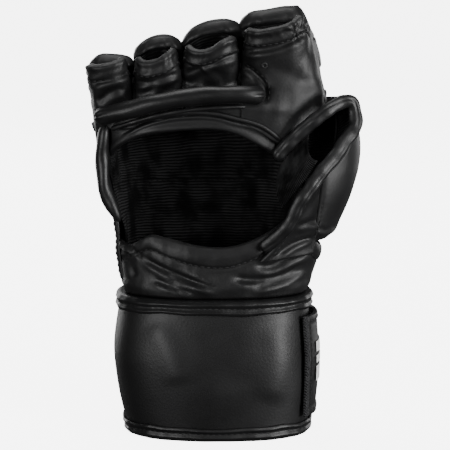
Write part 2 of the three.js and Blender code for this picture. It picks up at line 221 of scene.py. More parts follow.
FOAM_EASE = 1.2
KNUCKLE_LEVEL = (165, 8)  # the height and offset at which the hand's upper edge is worked out
KNUCKLE_DROP = 3
HINGE_Y = -4
HINGE_FRONT = 5
HINGE_EASE = 6
HINGE_DROP = 14
FINGER_LEAN = math.radians(15)
STALL_WALL = 1.7
STALL_FLARE = 3.6  # the offset from the hand's cavity at which a finger's front meets the palm
STALL_CORNER = 3.8  # how far the corners of a finger's front are rounded down
STALL_DRAWN = 2.3  # how much narrower the gathered opening is
PAD_START = 1.5  # from the finger's cavity to the front of its pad

# The fingers: hinge height, centre and half width at the hinge and at the tip, reach of the front
# wall and of the back above the hinge, depth of the cavity, thickness of the pad, and how far the
# front lies back above the bar. front_edge and back_edge are rows of the share across the finger and
# how far the edge stands above its usual height there, and low_edge gives the front's lower edge.
FINGERS = {
    "pinky": {
        "hinge": 164, "from": (-55, 10.5), "to": (-57.2, 10.7),
        "front": 26, "back": 20, "depth": 10.5, "pad": 11, "recess": 0.6,
        "front_edge": [[0, -2.4], [0.3, -1.3], [0.6, 0], [1, 1.4]],
        "low_edge": [[0, -13], [0.3, -9], [1, -8]],
        "back_edge": [[0, -3.4], [0.25, 0], [0.6, 0.3], [1, -0.4]],
    },
    "ring": {
        "hinge": 169, "from": (-32.2, 11.5), "to": (-33.8, 11.7),
        "front": 25, "back": 23.5, "depth": 10.5, "pad": 12, "recess": 1.5,
        "front_edge": [[0, -2.6], [0.2, -3.7], [0.45, -2.9], [0.75, 0], [1, 2.2]],
        "low_edge": [[0, -8], [1, -8]],
        "back_edge": [[0, -6], [0.2, -2], [0.4, 0.5], [0.7, 1.5], [1, -0.5]],
    },
    "middle": {
        "hinge": 173, "from": (-6.2, 13.4), "to": (-7.2, 14),
        "front": 26, "back": 27.5, "depth": 11, "pad": 13, "recess": 5.2,
        "front_edge": [[0, -1.5], [0.2, -3], [0.45, -2.4], [0.7, 1.6], [1, 2.8]],
        "low_edge": [[0, -8], [1, -8]],
        "back_edge": [[0, -8], [0.15, -4], [0.35, -1], [0.7, 1], [1, 0.3]],
    },
    "index": {
        "hinge": 175, "from": (27.8, 19.6), "to": (24.3, 16.2),
        "front": 33, "back": 31, "depth": 11.5, "pad": 13, "recess": 0,
        "front_edge": [[0, -2.3], [0.3, -1.5], [0.55, 0.3], [0.8, 2.4], [1, 5]],
        "low_edge": [[0, -17], [0.12, -18.5], [0.25, -20.5], [0.45, -26], [0.7, -23], [0.9, -17], [1, -12]],
        "back_edge": [[0, -4], [0.1, -2], [0.4, 0], [0.75, 1.5], [0.9, 0.5], [1, -8]],
    },
}


def hand_point(angle, height, offset):
    """Points at angles and heights, an offset out from the cavity: a superellipse whose half width
    and depths come from the table at that height."""
    angle, height, offset = np.broadcast_arrays(angle, height, offset)
    x, y, width, front, back = np.moveaxis(cavity_at(height), -1, 0)
    across = signed_power(np.cos(np.radians(angle)))
    deep = signed_power(np.sin(np.radians(angle)))
    reach = np.where(deep < 0, front, back)
    return np.stack([x + (width + offset) * across, y + (reach + offset) * deep, height], -1)


def hand_front(x, height, offset):
    """Y of the palm side at a place: the same superellipse solved for its depth."""
    middle, y, width, front, _ = np.moveaxis(cavity_at(height), -1, 0)
    share = np.clip(np.abs(x - middle) / (width + offset), 0, 1)
    return y - (front + offset) * np.clip(1 - share ** (2 / SQUARENESS), 0, 1) ** (SQUARENESS / 2)


def foam_thickness(angle, height):
    side, back = np.moveaxis(foam_at(height), -1, 0)
    return side + (back - side) * np.clip(np.sin(np.radians(angle)), 0, 1) ** FOAM_EASE


def knuckle_height(angle):
    """The upper edge of the back of the hand, which drops in front of the finger hinges."""
    point = hand_point(angle, *KNUCKLE_LEVEL)
    front = np.clip((HINGE_Y + HINGE_FRONT - point[..., 1]) / HINGE_EASE, 0, 1)
    return knuckle_at(point[..., 0])[..., 0] - KNUCKLE_DROP - front * HINGE_DROP


def finger_place(finger, across, deep, up):
    """Places in a finger's own frame: across it, behind its centre line and up from its hinge."""
    middle = mix(finger["from"][0], finger["to"][0], up / finger["back"])
    y = HINGE_Y + deep * math.cos(FINGER_LEAN) - up * math.sin(FINGER_LEAN)
    z = finger["hinge"] + deep * math.sin(FINGER_LEAN) + up * math.cos(FINGER_LEAN)
    return np.stack(np.broadcast_arrays(middle + across, y, z), -1)


def finger_half(finger, up):
    return mix(finger["from"][1], finger["to"][1], up / finger["back"])


def finger_point(finger, angle, up, offset):
    """Points on the wall of a finger's cavity, a half superellipse of the finger's half width and depth."""
    across = signed_power(np.cos(np.radians(angle))) * (finger_half(finger, up) - STALL_WALL + offset)
    deep = signed_power(np.sin(np.radians(angle))) * (finger["depth"] + offset)
    return finger_place(finger, across, deep, up)


def thumb_point(angle, height, offset):
    """Points on the outside of the thumb pad: an ellipse round the thumb's centre at each height."""
    side, front = np.moveaxis(thumb_at(height), -1, 0)
    x = THUMB_CENTRE[0] + (side + offset) * np.cos(np.radians(angle))
    y = THUMB_CENTRE[1] + (front + offset) * np.sin(np.radians(angle))
    return np.stack(np.broadcast_arrays(x, y, height), -1)


def column(table, number):
    """One column of a smooth table, as a function of the place."""
    return lambda place: table(place)[..., number]


def band(angles, low, high, offset, point=hand_point):
    """A surface between two angles, by default round the hand. Its lower and upper heights are
    numbers or functions of the angle. Its offset is a number or a function of the angle, the
    height and the share of the way up."""

    def surface(u, v):
        angle = mix(*angles, u)
        ends = [end(angle) if callable(end) else end for end in (low, high)]
        height = mix(*ends, v)
        out = offset(angle, height, v) if callable(offset) else offset
        return point(angle, height, out)

    return surface


def surface_between(first, second):
    """The straight-ruled surface between two lines of the same number of points."""
    share = np.linspace(0, 1, len(first))

    def surface(u, v):
        return mix(read_at(v, share, first), read_at(v, share, second), u[..., None])

    return surface


# ---- Relief ----


def ripple(points, shortest, longest, seed):
    """Soft unevenness between about -1 and 1: a sum of sine waves in random directions."""
    random = np.random.default_rng(SEED + seed)
    total = np.zeros(points.shape[:-1])
    for _ in range(7):
        way = random.normal(size=3)
        way *= 2 * math.pi / random.uniform(shortest, longest) / np.linalg.norm(way)
        total += np.sin(points @ way + random.uniform(0, 2 * math.pi))
    return total / 3.5


def crease(points, normals, path, width, depth, lip=0.0, taper=0.2, facing=-1):
    """A fold along a path of (x, z): a bell-shaped valley with a raised lip below it, fading out at
    both ends. It is only cut where the surface looks towards facing along Y."""
    way = curve(path, 60)
    flat = points.reshape(-1, 3)[:, [0, 2]]
    away = flat[:, None] - way[None]
    gap = np.einsum("ijk,ijk->ij", away, away)
    near = gap.argmin(1)
    tangent = unit(np.gradient(way, axis=0))
    nearest = away[np.arange(len(near)), near]
    side = tangent[near, 0] * nearest[:, 1] - tangent[near, 1] * nearest[:, 0]
    distance = np.sqrt(gap[np.arange(len(near)), near]) * np.sign(side)
    share = near / (len(way) - 1)
    fade = step_up(0, taper, share) * step_up(0, taper, 1 - share)
    shape = lip * bell(distance + 1.7 * width, 1.1 * width) - depth * bell(distance, width)
    seen = step_up(0.0, 0.35, normals[..., 1] * facing)
    return (shape * fade).reshape(points.shape[:-1]) * seen


def hem(distance, width, height, groove=0.45):
    """A turned edge: a band raised by height for width from the edge, with a sewn groove where it ends."""
    raised = height * (1 - step_up(width - 0.6, width + 0.8, distance))
    return raised - groove * bell(distance - width, 0.7)


def pucker(points, centre, reach, height, spokes):
    """Gathered cloth round a point of (x, z): spokes of a wave that die away over reach."""
    x = points[..., 0] - centre[0]
    z = points[..., 2] - centre[1]
    return height * np.cos(spokes * np.arctan2(z, x)) * bell(np.hypot(x, z), reach)


# ---- Meshes ----


def quads(ids):
    """Four-sided faces between the rows and columns of a grid of vertex numbers."""
    return np.stack([ids[:-1, :-1], ids[:-1, 1:], ids[1:, 1:], ids[1:, :-1]], -1).reshape(-1, 4)


def make_mesh(name, points, faces, material, uv=None, triangles=None):
    """An object at the origin from points in millimetres, with the material of a given name and a
    UV in metres for each face corner."""
    mesh = bpy.data.meshes.new(name)
    every = faces.tolist() + ([] if triangles is None else triangles.tolist())
    mesh.from_pydata((points * MM).tolist(), [], every)
    mesh.polygons.foreach_set("use_smooth", np.ones(len(every), bool))
    if uv is not None:
        layer = mesh.uv_layers.new(name="UVMap")
        layer.data.foreach_set("uv", (uv.reshape(-1) * MM).astype(np.float32))
    mesh.update()
    thing = bpy.data.objects.new(name, mesh)
    bpy.context.scene.collection.objects.link(thing)
    mesh.materials.append(bpy.data.materials[material])
    return thing


def spread(count, share):
    """Parameters from 0 to 1, bunched over a share at both ends where an edge is rounded."""
    share = min(share, 0.4)
    ends = share * (1 - np.cos(np.radians([0, 25, 50, 75])))
    return np.concatenate([ends, np.linspace(share, 1 - share, max(count, 3)), 1 - ends[::-1]])


class Skin:
    """A sheet with two faces and rounded edges, laid under a surface of two parameters. It knows
    the way out and the distance from each of its edges at every point of its grid."""

    def __init__(self, at, step=1.2, step_along=None, wraps=False, centre=None, rounded=1.0):
        rough = at(*np.meshgrid(np.linspace(0, 1, 33), np.linspace(0, 1, 33)))
        self.wide = lengths(rough, 1)[:, -1].mean()
        self.tall = lengths(rough, 0)[-1].mean()
        columns = int(self.wide / step)
        rows = int(self.tall / (step_along or step))
        u = np.arange(columns) / columns if wraps else spread(columns, rounded / self.wide)
        self.u, self.v = np.meshgrid(u, spread(rows, rounded / self.tall))
        self.points = at(self.u, self.v)
        self.wraps = wraps
        self.rounded = rounded
        self.normals, self.turned = self.way_out(centre)
        self.left = lengths(self.points, 1)
        self.right = self.left[:, -1:] - self.left
        self.low = lengths(self.points, 0)
        self.high = self.low[-1:] - self.low
        edges = [self.low, self.high] if wraps else [self.low, self.high, self.left, self.right]
        self.edge = np.minimum.reduce(edges)

    def way_out(self, centre):
        grid = self.points
        if self.wraps:
            grid = np.concatenate([grid[:, -1:], grid, grid[:, :1]], 1)
        across = np.gradient(grid, axis=1)
        along = np.gradient(grid, axis=0)
        normals = unit(np.cross(across, along))
        if self.wraps:
            normals = normals[:, 1:-1]
        axis = HAND_AXIS + self.points * [0, 0, 1] if centre is None else np.array(centre)
        turned = np.sum(normals * (self.points - axis)) < 0
        return (-normals if turned else normals), turned

    def build(self, name, material, thick, relief=0.0, inner_relief=0.0):
        """The sheet: its outer face is the surface plus the relief, its inner face is thick below
        the surface, and both draw together along a quarter circle at the edges."""
        swell = rounding(self.edge / self.rounded)
        half = np.broadcast_to(np.asarray(thick, float) / 2, swell.shape)
        middle = self.points - self.normals * half[..., None]
        self.outer = middle + self.normals * (swell * (half + relief))[..., None]
        self.inner = middle - self.normals * (swell * (half + inner_relief))[..., None]
        rows, columns = self.u.shape
        ids = np.arange(rows * columns).reshape(rows, columns)
        inside = np.ones((rows, columns), bool)
        inside[[0, -1]] = False
        if not self.wraps:
            inside[:, [0, -1]] = False
        under = ids.copy()
        under[inside] = rows * columns + np.arange(inside.sum())
        points = np.concatenate([self.outer.reshape(-1, 3), self.inner[inside]])
        u, v = self.u, self.v
        if self.wraps:
            ids = np.concatenate([ids, ids[:, :1]], 1)
            under = np.concatenate([under, under[:, :1]], 1)
            u = np.concatenate([u, u[:, :1] + 1], 1)
            v = np.concatenate([v, v[:, :1]], 1)
        flat = np.stack([u * self.wide, v * self.tall], -1)
        corner = np.arange(u.size).reshape(u.shape)
        top = flat.reshape(-1, 2)[quads(corner)]
        upper, lower = quads(ids), quads(under)
        if self.turned:
            faces = np.concatenate([upper[:, ::-1], lower])
            uv = np.concatenate([top[:, ::-1], top])
        else:
            faces = np.concatenate([upper, lower[:, ::-1]])
            uv = np.concatenate([top, top[:, ::-1]])
        return make_mesh(name, points, faces, material, uv)

    def line(self, u, v, inside=False):
        """Points of a face at parameters u and v, and the way out there."""
        column = np.interp(u, self.u[0], np.arange(self.u.shape[1]))
        row = np.interp(v, self.v[:, 0], np.arange(self.v.shape[0]))
        i = np.clip(column.astype(int), 0, self.u.shape[1] - 2)
        j = np.clip(row.astype(int), 0, self.v.shape[0] - 2)
        s = (column - i)[:, None]
        t = (row - j)[:, None]
        face = self.inner if inside else self.outer
        return [
            mix(mix(grid[j, i], grid[j, i + 1], s), mix(grid[j + 1, i], grid[j + 1, i + 1], s), t)
            for grid in (face, -self.normals if inside else self.normals)
        ]

    def beside(self, edge, distance, start=0.02, end=0.98, inside=False):
        """A line of points at a distance from one edge of the outer face."""
        share = np.linspace(start, end, 240)
        if edge in ("low", "high"):
            tall = np.interp(share, self.u[0], self.high[0])
            v = distance / tall
            return self.line(share, 1 - v if edge == "high" else v, inside)
        wide = np.interp(share, self.v[:, 0], self.right[:, 0])
        u = distance / wide
        return self.line(1 - u if edge == "right" else u, share, inside)

    def folds(self, rows, scale=(1, 1, 1), **shape):
        """The creases in rows of a path, a width, a depth and a lip, each of them scaled."""
        return sum(
            crease(self.points, self.normals, path, *np.multiply(row, scale), **shape)
            for path, *row in rows
        )

    def ribs(self, distance, seed, shortest, longest, pitch=RIB_PITCH, wander=2):
        """The height of knitted ribs: a sine wave of distance that wanders sideways."""
        sideways = wander * ripple(self.points, shortest, longest, seed)
        return np.sin(distance * 2 * math.pi / pitch + sideways)

    def drape(self, path, facing=-1):
        """A path of (x, z) laid on the outer face, on the side that looks towards facing along Y."""
        way = curve(path, 120)
        seen = self.normals[..., 1] * facing > 0.1
        points = self.outer[seen]
        away = points[None, :, [0, 2]] - way[:, None]
        weight = np.exp(-np.einsum("ijk,ijk->ij", away, away) / 1.5) + 1e-12
        weight /= weight.sum(1)[:, None]
        return weight @ points, weight @ self.normals[seen]


def tube(name, rings, material):
    """A closed surface through rings of points, with a fan of triangles over each end."""
    rows, columns = rings.shape[:2]
    ids = np.arange(rows * columns).reshape(rows, columns)
    looped = np.concatenate([ids, ids[:, :1]], 1)
    points = np.concatenate([rings.reshape(-1, 3), rings[[0, -1]].mean(1)])
    faces = quads(looped)
    last = rows * columns
    start = np.column_stack([looped[0, 1:], looped[0, :-1], np.full(columns, last)])
    end = np.column_stack([looped[-1, :-1], looped[-1, 1:], np.full(columns, last + 1)])
    triangles = np.concatenate([start, end])
    corners = points[faces]
    out = np.cross(corners[:, 1] - corners[:, 0], corners[:, 3] - corners[:, 0])
    if np.sum(out * (corners.mean(1) - rings.mean((0, 1)))) < 0:
        faces = faces[:, ::-1]
        triangles = triangles[:, ::-1]
    return make_mesh(name, points, faces, material, None, triangles)


def roll(name, path, direction, radii, material, relief=None, step=0.8, sides=28, blunt=None):
    """A rolled edge: an ellipse carried along a smooth path, with rounded ends. Its first radius
    lies across the direction given. relief is a function of the angle round the section and the
    distances from both ends."""
    length = lengths(np.array(path, float), 0)[-1]
    blunt = blunt or max(radii)
    share = spread(int(length / step), blunt / length)
    fine = curve(path, 600)
    reach = np.linspace(0, 1, len(fine))
    middle = read_at(share, reach, fine)
    along = unit(read_at(share, reach, np.gradient(fine, axis=0)))
    out = unit(np.cross(along, direction))
    side = np.cross(out, along)
    distance = share * length
    swell = rounding(np.minimum(distance, length - distance) / blunt, 0.08)[:, None]
    turn = np.linspace(0, 2 * math.pi, sides, endpoint=False)[None]
    extra = 0 if relief is None else relief(turn, distance[:, None], (length - distance)[:, None])
    wide = ((radii[0] + extra) * np.cos(turn) * swell)[..., None]
    thick = ((radii[1] + extra) * np.sin(turn) * swell)[..., None]
    rings = middle[:, None] + out[:, None] * wide + side[:, None] * thick
    return tube(name, rings, material)


def stitches(name, lines, material, length=2.1, gap=0.9, radius=0.27):
    """Threads sewn along lines of points and their ways out: small capsules, each laid on the surface."""
    rings, sides = 5, 6
    slope = np.linspace(-1, 1, rings)
    ends = slope * (length / 2)
    wide = radius * np.sqrt(np.clip(1 - np.abs(slope) ** 3, 0, 1)) + radius * 0.25
    turn = np.linspace(0, 2 * math.pi, sides, endpoint=False)
    capsule = np.stack([
        np.repeat(ends, sides),
        np.outer(wide, np.cos(turn)).ravel(),
        np.outer(wide, np.sin(turn)).ravel(),
    ], -1)
    ids = np.arange(rings * sides).reshape(rings, sides)
    wall = quads(np.concatenate([ids, ids[:, :1]], 1))
    caps = np.array([[0, 5, 4, 1], [1, 4, 3, 2], [24, 25, 28, 29], [25, 26, 27, 28]])
    shape = np.concatenate([wall[:, ::-1], caps])
    points, faces = [], []
    for places, ways in lines:
        reach = lengths(places, 0)
        at = np.arange(length, reach[-1] - length / 2, length + gap)
        middle = read_at(at, reach, places)
        along = unit(read_at(at, reach, np.gradient(places, reach, axis=0)))
        across = unit(np.cross(read_at(at, reach, ways), along))
        turned = np.stack([along, across, np.cross(along, across)], 1)
        start = sum(len(p) for p in points)
        points.append((capsule @ turned + middle[:, None]).reshape(-1, 3))
        first = start + ids.size * np.arange(len(at))
        faces.append((shape[None] + first[:, None, None]).reshape(-1, 4))
    return make_mesh(name, np.concatenate(points), np.concatenate(faces), material)


CLOTH_FRAMES = 20


def plump(thing, cap, keep=None, pressure=4.0, cell=5.0):
    """Pads the piece out as cloth: a coarse copy is blown up and wrinkles as its cloth grows, and
    its movement, up to cap millimetres, is passed on to the piece. keep is a function that gives
    how freely each point moves, from 0 to 1."""
    coarse = thing.copy()
    coarse.data = thing.data.copy()
    bpy.context.scene.collection.objects.link(coarse)
    remesh = coarse.modifiers.new("Remesh", "REMESH")
    remesh.mode = "VOXEL"
    remesh.voxel_size = cell * MM
    graph = bpy.context.evaluated_depsgraph_get()
    coarse.data = bpy.data.meshes.new_from_object(coarse.evaluated_get(graph))
    coarse.modifiers.clear()
    rest = read_points(coarse.data)
    cloth = coarse.modifiers.new("Cloth", "CLOTH")
    cloth.settings.quality = 6
    cloth.settings.mass = 0.3
    cloth.settings.tension_stiffness = 25
    cloth.settings.compression_stiffness = 25
    cloth.settings.bending_stiffness = 0.6
    cloth.settings.shrink_min = -0.07
    cloth.settings.use_pressure = True
    cloth.settings.uniform_pressure_force = pressure
    cloth.settings.effector_weights.gravity = 0
    scene = bpy.context.scene
    for number in range(1, CLOTH_FRAMES + 1):
        scene.frame_set(number)
    graph = bpy.context.evaluated_depsgraph_get()
    moved = read_points(coarse.evaluated_get(graph).data)
    scene.frame_set(1)
    bpy.data.objects.remove(coarse)
    shift = moved - rest
    shift -= shift.mean(0)
    points = read_points(thing.data)
    total = np.zeros_like(points)
    for part in np.array_split(np.arange(len(points)), max(1, len(points) // 2000)):
        away = points[part][:, None] - rest[None]
        gap = np.einsum("ijk,ijk->ij", away, away)
        weight = np.exp(-gap / (0.5 * cell**2)) + 1e-9
        total[part] = (weight / weight.sum(1)[:, None]) @ shift
    size = np.linalg.norm(total, axis=1)[:, None]
    total *= np.minimum(1, cap / np.maximum(size, 1e-6))
    if keep is not None:
        total *= keep(points)[:, None]
    thing.data.vertices.foreach_set("co", ((points + total) * MM).astype(np.float32).ravel())
    thing.data.update()


def read_points(mesh):
    flat = np.zeros(len(mesh.vertices) * 3, np.float32)
    mesh.vertices.foreach_get("co", flat)
    return flat.reshape(-1, 3).astype(float) / MM


# ---- Shaders ----


class Wire:
    """A value in a shader. Sums of wires and numbers make the maths nodes."""

    def __init__(self, shader, socket):
        self.shader = shader
        self.socket = socket

    def maths(self, operation, *values):
        return self.shader.node("ShaderNodeMath", {"operation": operation}, dict(enumerate(values)))

    def __add__(self, other):
        return self.maths("ADD", self, other)

    __radd__ = __add__

    def __sub__(self, other):
        return self.maths("SUBTRACT", self, other)

    def __rsub__(self, other):
        return self.maths("SUBTRACT", other, self)

    def __mul__(self, other):
        return self.maths("MULTIPLY", self, other)

    __rmul__ = __mul__

    def sine(self):
        return self.maths("SINE", self)

    def smooth(self, low, high):
        values = {"From Min": low, "From Max": high, "Value": self}
        return self.shader.node("ShaderNodeMapRange", {"interpolation_type": "SMOOTHSTEP"}, values)


class Shader:
    """A material being wired up, with one surface shader and its output."""

    def __init__(self, name):
        self.material = bpy.data.materials.new(name)
        self.material.use_nodes = True
        self.tree = self.material.node_tree
        self.tree.nodes.clear()
        self.surface = self.tree.nodes.new("ShaderNodeBsdfPrincipled")
        output = self.tree.nodes.new("ShaderNodeOutputMaterial")
        self.tree.links.new(self.surface.outputs[0], output.inputs["Surface"])

    def put(self, node, values):
        for key, value in values.items():
            if isinstance(value, Wire):
                self.tree.links.new(value.socket, node.inputs[key])
            else:
                node.inputs[key].default_value = value

    def node(self, kind, settings=None, values=None, output=0):
        """Any node, with its settings and its inputs' values or wires. Gives one of its outputs."""
        node = self.tree.nodes.new(kind)
        for key, value in (settings or {}).items():
            setattr(node, key, value)
        self.put(node, values or {})
        return Wire(self, node.outputs[output])

    def place(self):
        return self.node("ShaderNodeTexCoord", output="Object")

    def flat(self):
        return self.node("ShaderNodeUVMap", {"uv_map": "UVMap"})

    def parts(self, vector):
        return [self.node("ShaderNodeSeparateXYZ", None, {0: vector}, k) for k in ("X", "Y", "Z")]

    def scaled(self, vector, scale):
        values = {"Vector": vector, "Scale": scale}
        return self.node("ShaderNodeMapping", None, values)

    def noise(self, vector, scale, detail=3.0, rough=0.55):
        values = {"Vector": vector, "Scale": scale, "Detail": detail, "Roughness": rough}
        return self.node("ShaderNodeTexNoise", None, values)

    def cells(self, vector, scale):
        return self.node("ShaderNodeTexVoronoi", None, {"Vector": vector, "Scale": scale}, "Distance")

    def colour(self, share, low, high):
        values = {0: share, 6: (*low, 1), 7: (*high, 1)}
        return self.node("ShaderNodeMix", {"data_type": "RGBA"}, values, 2)

    def bump(self, height, distance, strength=1.0):
        values = {"Height": height, "Distance": distance * MM, "Strength": strength}
        return self.node("ShaderNodeBump", None, values)

    def finish(self, values):
        self.put(self.surface, values)
        return self.material


def shade(tone, share):
    return [part * share for part in tone]


def leather(name, tone, gloss=0.45):
    """Grained leather: small cells and finer noise as bump, tone and sheen that drift, and paler
    worn edges."""
    shader = Shader(name)
    place = shader.place()
    cells = shader.cells(place, 750)
    fine = shader.noise(place, 1900, 2)
    patchy = shader.noise(place, 55, 5)
    broad = shader.noise(place, 16, 2)
    worn = shader.node("ShaderNodeNewGeometry", output="Pointiness").smooth(0.5, 0.62)
    share = patchy.smooth(0.3, 0.75) * 0.55 + worn * 0.45
    return shader.finish({
        "Base Color": shader.colour(share, shade(tone, 0.62), shade(tone, 1.75)),
        "Roughness": gloss - 0.07 + broad * 0.16 + patchy * 0.08,
        "Normal": shader.bump(cells * 0.7 + fine * 0.5, 0.3, 0.2),
        "Specular IOR Level": 0.45,
    })


def ribbed(name, dark, pale, pitch, wobble, along=1, rough=0.85):
    """Ribbed knitting: waves along one of the sheet's two directions that wander and fade in patches."""
    shader = Shader(name)
    flat = shader.flat()
    parts = shader.parts(flat)
    wander = shader.noise(flat, 90, 3)
    fade = shader.noise(shader.scaled(flat, (85, 50, 1) if along == 1 else (50, 85, 1)), 1, 3)
    wave = (parts[along] * (2 * math.pi / (pitch * MM)) + wander * wobble).sine() * 0.5 + 0.5
    yarn = shader.noise(flat, 1500, 2)
    share = wave * fade.smooth(0.36, 0.6) * 0.9 + yarn * 0.1
    return shader.finish({
        "Base Color": shader.colour(share, dark, pale),
        "Roughness": rough - 0.1 * yarn,
        "Normal": shader.bump(wave * 0.7 + yarn * 0.4, 0.4, 0.8),
        "Specular IOR Level": 0.06,
    })


def fuzzy(name, dark, pale, scale, weave=0.0):
    """Hook, loop or woven tape: a speckle of cells and noise, and a woven wave if weave is set."""
    shader = Shader(name)
    place = shader.place()
    speckle = shader.cells(place, scale)
    fine = shader.noise(place, scale * 1.7, 3)
    height = speckle * 0.8 + fine * 0.6
    if weave:
        x, y, z = shader.parts(place)
        height = height + ((x + y + z) * (2 * math.pi / (weave * MM))).sine() * 0.35
    share = height.smooth(0.25, 1.0)
    return shader.finish({
        "Base Color": shader.colour(share, dark, pale),
        "Roughness": 0.98 - 0.12 * fine,
        "Normal": shader.bump(height, 0.5, 0.8),
        "Specular IOR Level": 0.2,
    })


def plain(name, tone, rough, scale, contrast=0.12, depth=0.1):
    """A nearly even finish whose tone, sheen and height still drift: print, thread or floor."""
    shader = Shader(name)
    place = shader.place()
    cloud = shader.noise(place, scale, 4)
    return shader.finish({
        "Base Color": shader.colour(cloud, shade(tone, 1 - contrast), tone),
        "Roughness": rough - 0.08 * cloud,
        "Normal": shader.bump(cloud, depth, 0.5),
    })


# ---- Settings ----


def colour_setting(name, tone, text):
    return bpy.props.FloatVectorProperty(
        name=name, description=text, default=tone, size=3, min=0, max=1, subtype="COLOR"
    )


class GloveSettings(bpy.types.PropertyGroup):
    leather_tone: colour_setting("Leather", (0.0056, 0.0056, 0.0059), "Colour of the leather")
    lining_dark: colour_setting("Lining, dark", (0.0009, 0.0009, 0.001), "Colour between the lining's ribs")
    lining_pale: colour_setting("Lining, pale", (0.027, 0.027, 0.0275), "Colour of the lining's ribs")
    tape_tone: colour_setting("Tape", (0.02, 0.02, 0.021), "Colour of the tapes")
    thread_tone: colour_setting("Thread", (0.014, 0.014, 0.0145), "Colour of the stitches")
    print_tone: colour_setting("Print", (0.8, 0.8, 0.79), "Colour of the bars on the strap")
    floor_tone: colour_setting("Floor", (0.9, 0.9, 0.9), "Colour of the floor")
    stitch: bpy.props.FloatProperty(
        name="Stitch", description="Length of a stitch", default=2.1 * MM, min=MM, max=5 * MM, unit="LENGTH"
    )
    softness: bpy.props.FloatProperty(
        name="Softness", description="How uneven the leather lies", default=1.0, min=0, max=2
    )


def settings():
    return bpy.context.scene.glove


def finishes():
    """Makes the materials, once."""
    if "shell leather" in bpy.data.materials:
        return
    tones = settings()
    leather("shell leather", tones.leather_tone)
    leather("smooth leather", shade(tones.leather_tone, 0.9), 0.4)
    ribbed("lining mesh", tones.lining_dark, tones.lining_pale, RIB_PITCH, 9)
    ribbed("elastic web", tones.lining_dark, shade(tones.lining_pale, 1.6), 0.85, 1.2)
    fuzzy("hook and loop", shade(tones.tape_tone, 0.3), tones.tape_tone, 900)
    fuzzy("woven tape", shade(tones.tape_tone, 0.2), shade(tones.tape_tone, 2.6), 1100, WEAVE_PITCH)
    # web cloth is a near-black matte cloth. It is painted shade in the gaps between the finger stalls, and
    # the plain dark thread of the linings' stitches.
    fuzzy("dark cloth and painted shade", tones.lining_dark, shade(tones.lining_pale, 0.2), 900)
    plain("print", tones.print_tone, 0.5, 400)
    plain("thread", tones.thread_tone, 0.7, 3000, 0.5)


def soft(points, seed, shortest=9, longest=34, height=0.5):
    return ripple(points, shortest, longest, seed) * height * settings().softness


def sew(name, lines):
    """The stitches of a piece, of the length that the panel sets."""
    return stitches(name + "_stitches", lines, "thread", settings().stitch / MM)


def settle(things, body=None, blend=None, replaces=()):
    """Gives pieces their body, or, when a blend is given, only applies their transform, and hides the
    parts of the frame that they replace."""
    for thing in things:
        if blend:
            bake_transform(thing)
        else:
            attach(thing, body)
    if replaces:
        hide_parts(*replaces)


def metres(*place):
    return tuple(p * MM for p in place)


WRIST = ("cuff", "hand", metres(-5, 0, 71), metres(-5, 0, 93))


# ---- Cuff ----

CUFF_FOLDS = [
    ([(-36, 60), (-27, 46), (-22, 28)], 6, -0.8, 0),
    ([(23, 61), (27, 42), (21, 18)], 7, -0.9, 0),
    ([(-8, 60), (0, 46), (4, 24)], 9, 0.4, 0),
]
BINDING_HEIGHT = 7.2
BINDING_SEAM = 4.1
BINDING_GROOVE = 0.17  # the share of the way along a binding's section at which it is sewn
CUFF_INSET = 1.9  # from the cuff's edges to its shell and lining


def binding_point(turn, along, edge, sign):
    """A binding's section, a strip folded over the cuff's edge: along runs from the outer hem,
    over the edge, to the inner hem and back along the strip's inner side."""
    outside, inside = 8.0, -1.9
    keys = smooth_table([
        [0, outside - 1.3, BINDING_HEIGHT - 0.5],
        [0.03, outside - 0.4, BINDING_HEIGHT],
        [0.06, outside + 0.15, BINDING_HEIGHT - 0.9],
        [0.14, outside - 0.15, BINDING_SEAM + 0.9],
        [BINDING_GROOVE, outside - 0.5, BINDING_SEAM],
        [0.2, outside - 0.1, BINDING_SEAM - 0.9],
        [0.3, outside, 1.6],
        [0.37, outside - 1.5, 0.1],
        [0.45, 3, 0],
        [0.53, inside + 1.4, 0.1],
        [0.6, inside, 1.6],
        [0.74, inside, BINDING_HEIGHT - 0.8],
        [0.77, inside + 0.7, BINDING_HEIGHT],
        [0.8, inside + 1.3, BINDING_HEIGHT - 0.8],
        [0.87, inside + 1.4, 2.0],
        [0.9, 1.0, 1.6],
        [0.93, 5.0, 1.6],
        [0.96, outside - 1.5, 2.0],
        [1, outside - 1.3, BINDING_HEIGHT - 0.5],
    ])
    offset, height = np.moveaxis(keys(along), -1, 0)
    way = np.radians(turn)
    height = height * (1 + 0.05 * np.sin(5 * way + edge) + 0.03 * np.sin(13 * way))
    offset = offset + 0.16 * np.sin(11 * way + 1) + 0.1 * np.sin(29 * way + edge)
    return hand_point(turn, edge + sign * height, offset)


def binding(name, edge, sign, node, material):
    """A ring of the binding's section round the cuff, with its row of stitches."""
    turns = np.linspace(0, 360, 300, endpoint=False)
    share = np.linspace(0, 1, 72, endpoint=False)
    rings = binding_point(*np.meshgrid(turns, share, indexing="ij"), edge, sign)
    ids = np.arange(rings.shape[0] * rings.shape[1]).reshape(rings.shape[:2])
    ids = np.concatenate([ids, ids[:1]], 0)
    ids = np.concatenate([ids, ids[:, :1]], 1)
    faces = quads(ids)
    if sign < 0:
        faces = faces[:, ::-1]
    ring = make_mesh(name, rings.reshape(-1, 3), faces, material)
    way = np.linspace(0, 360, 700)
    sewn = binding_point(way, np.full_like(way, BINDING_GROOVE), edge, sign)
    away = unit((sewn - [-5, 0, 0]) * [1, 1, 0])
    settle([ring, sew(name, [(sewn + 0.05, away)])], "cuff", replaces=[node])


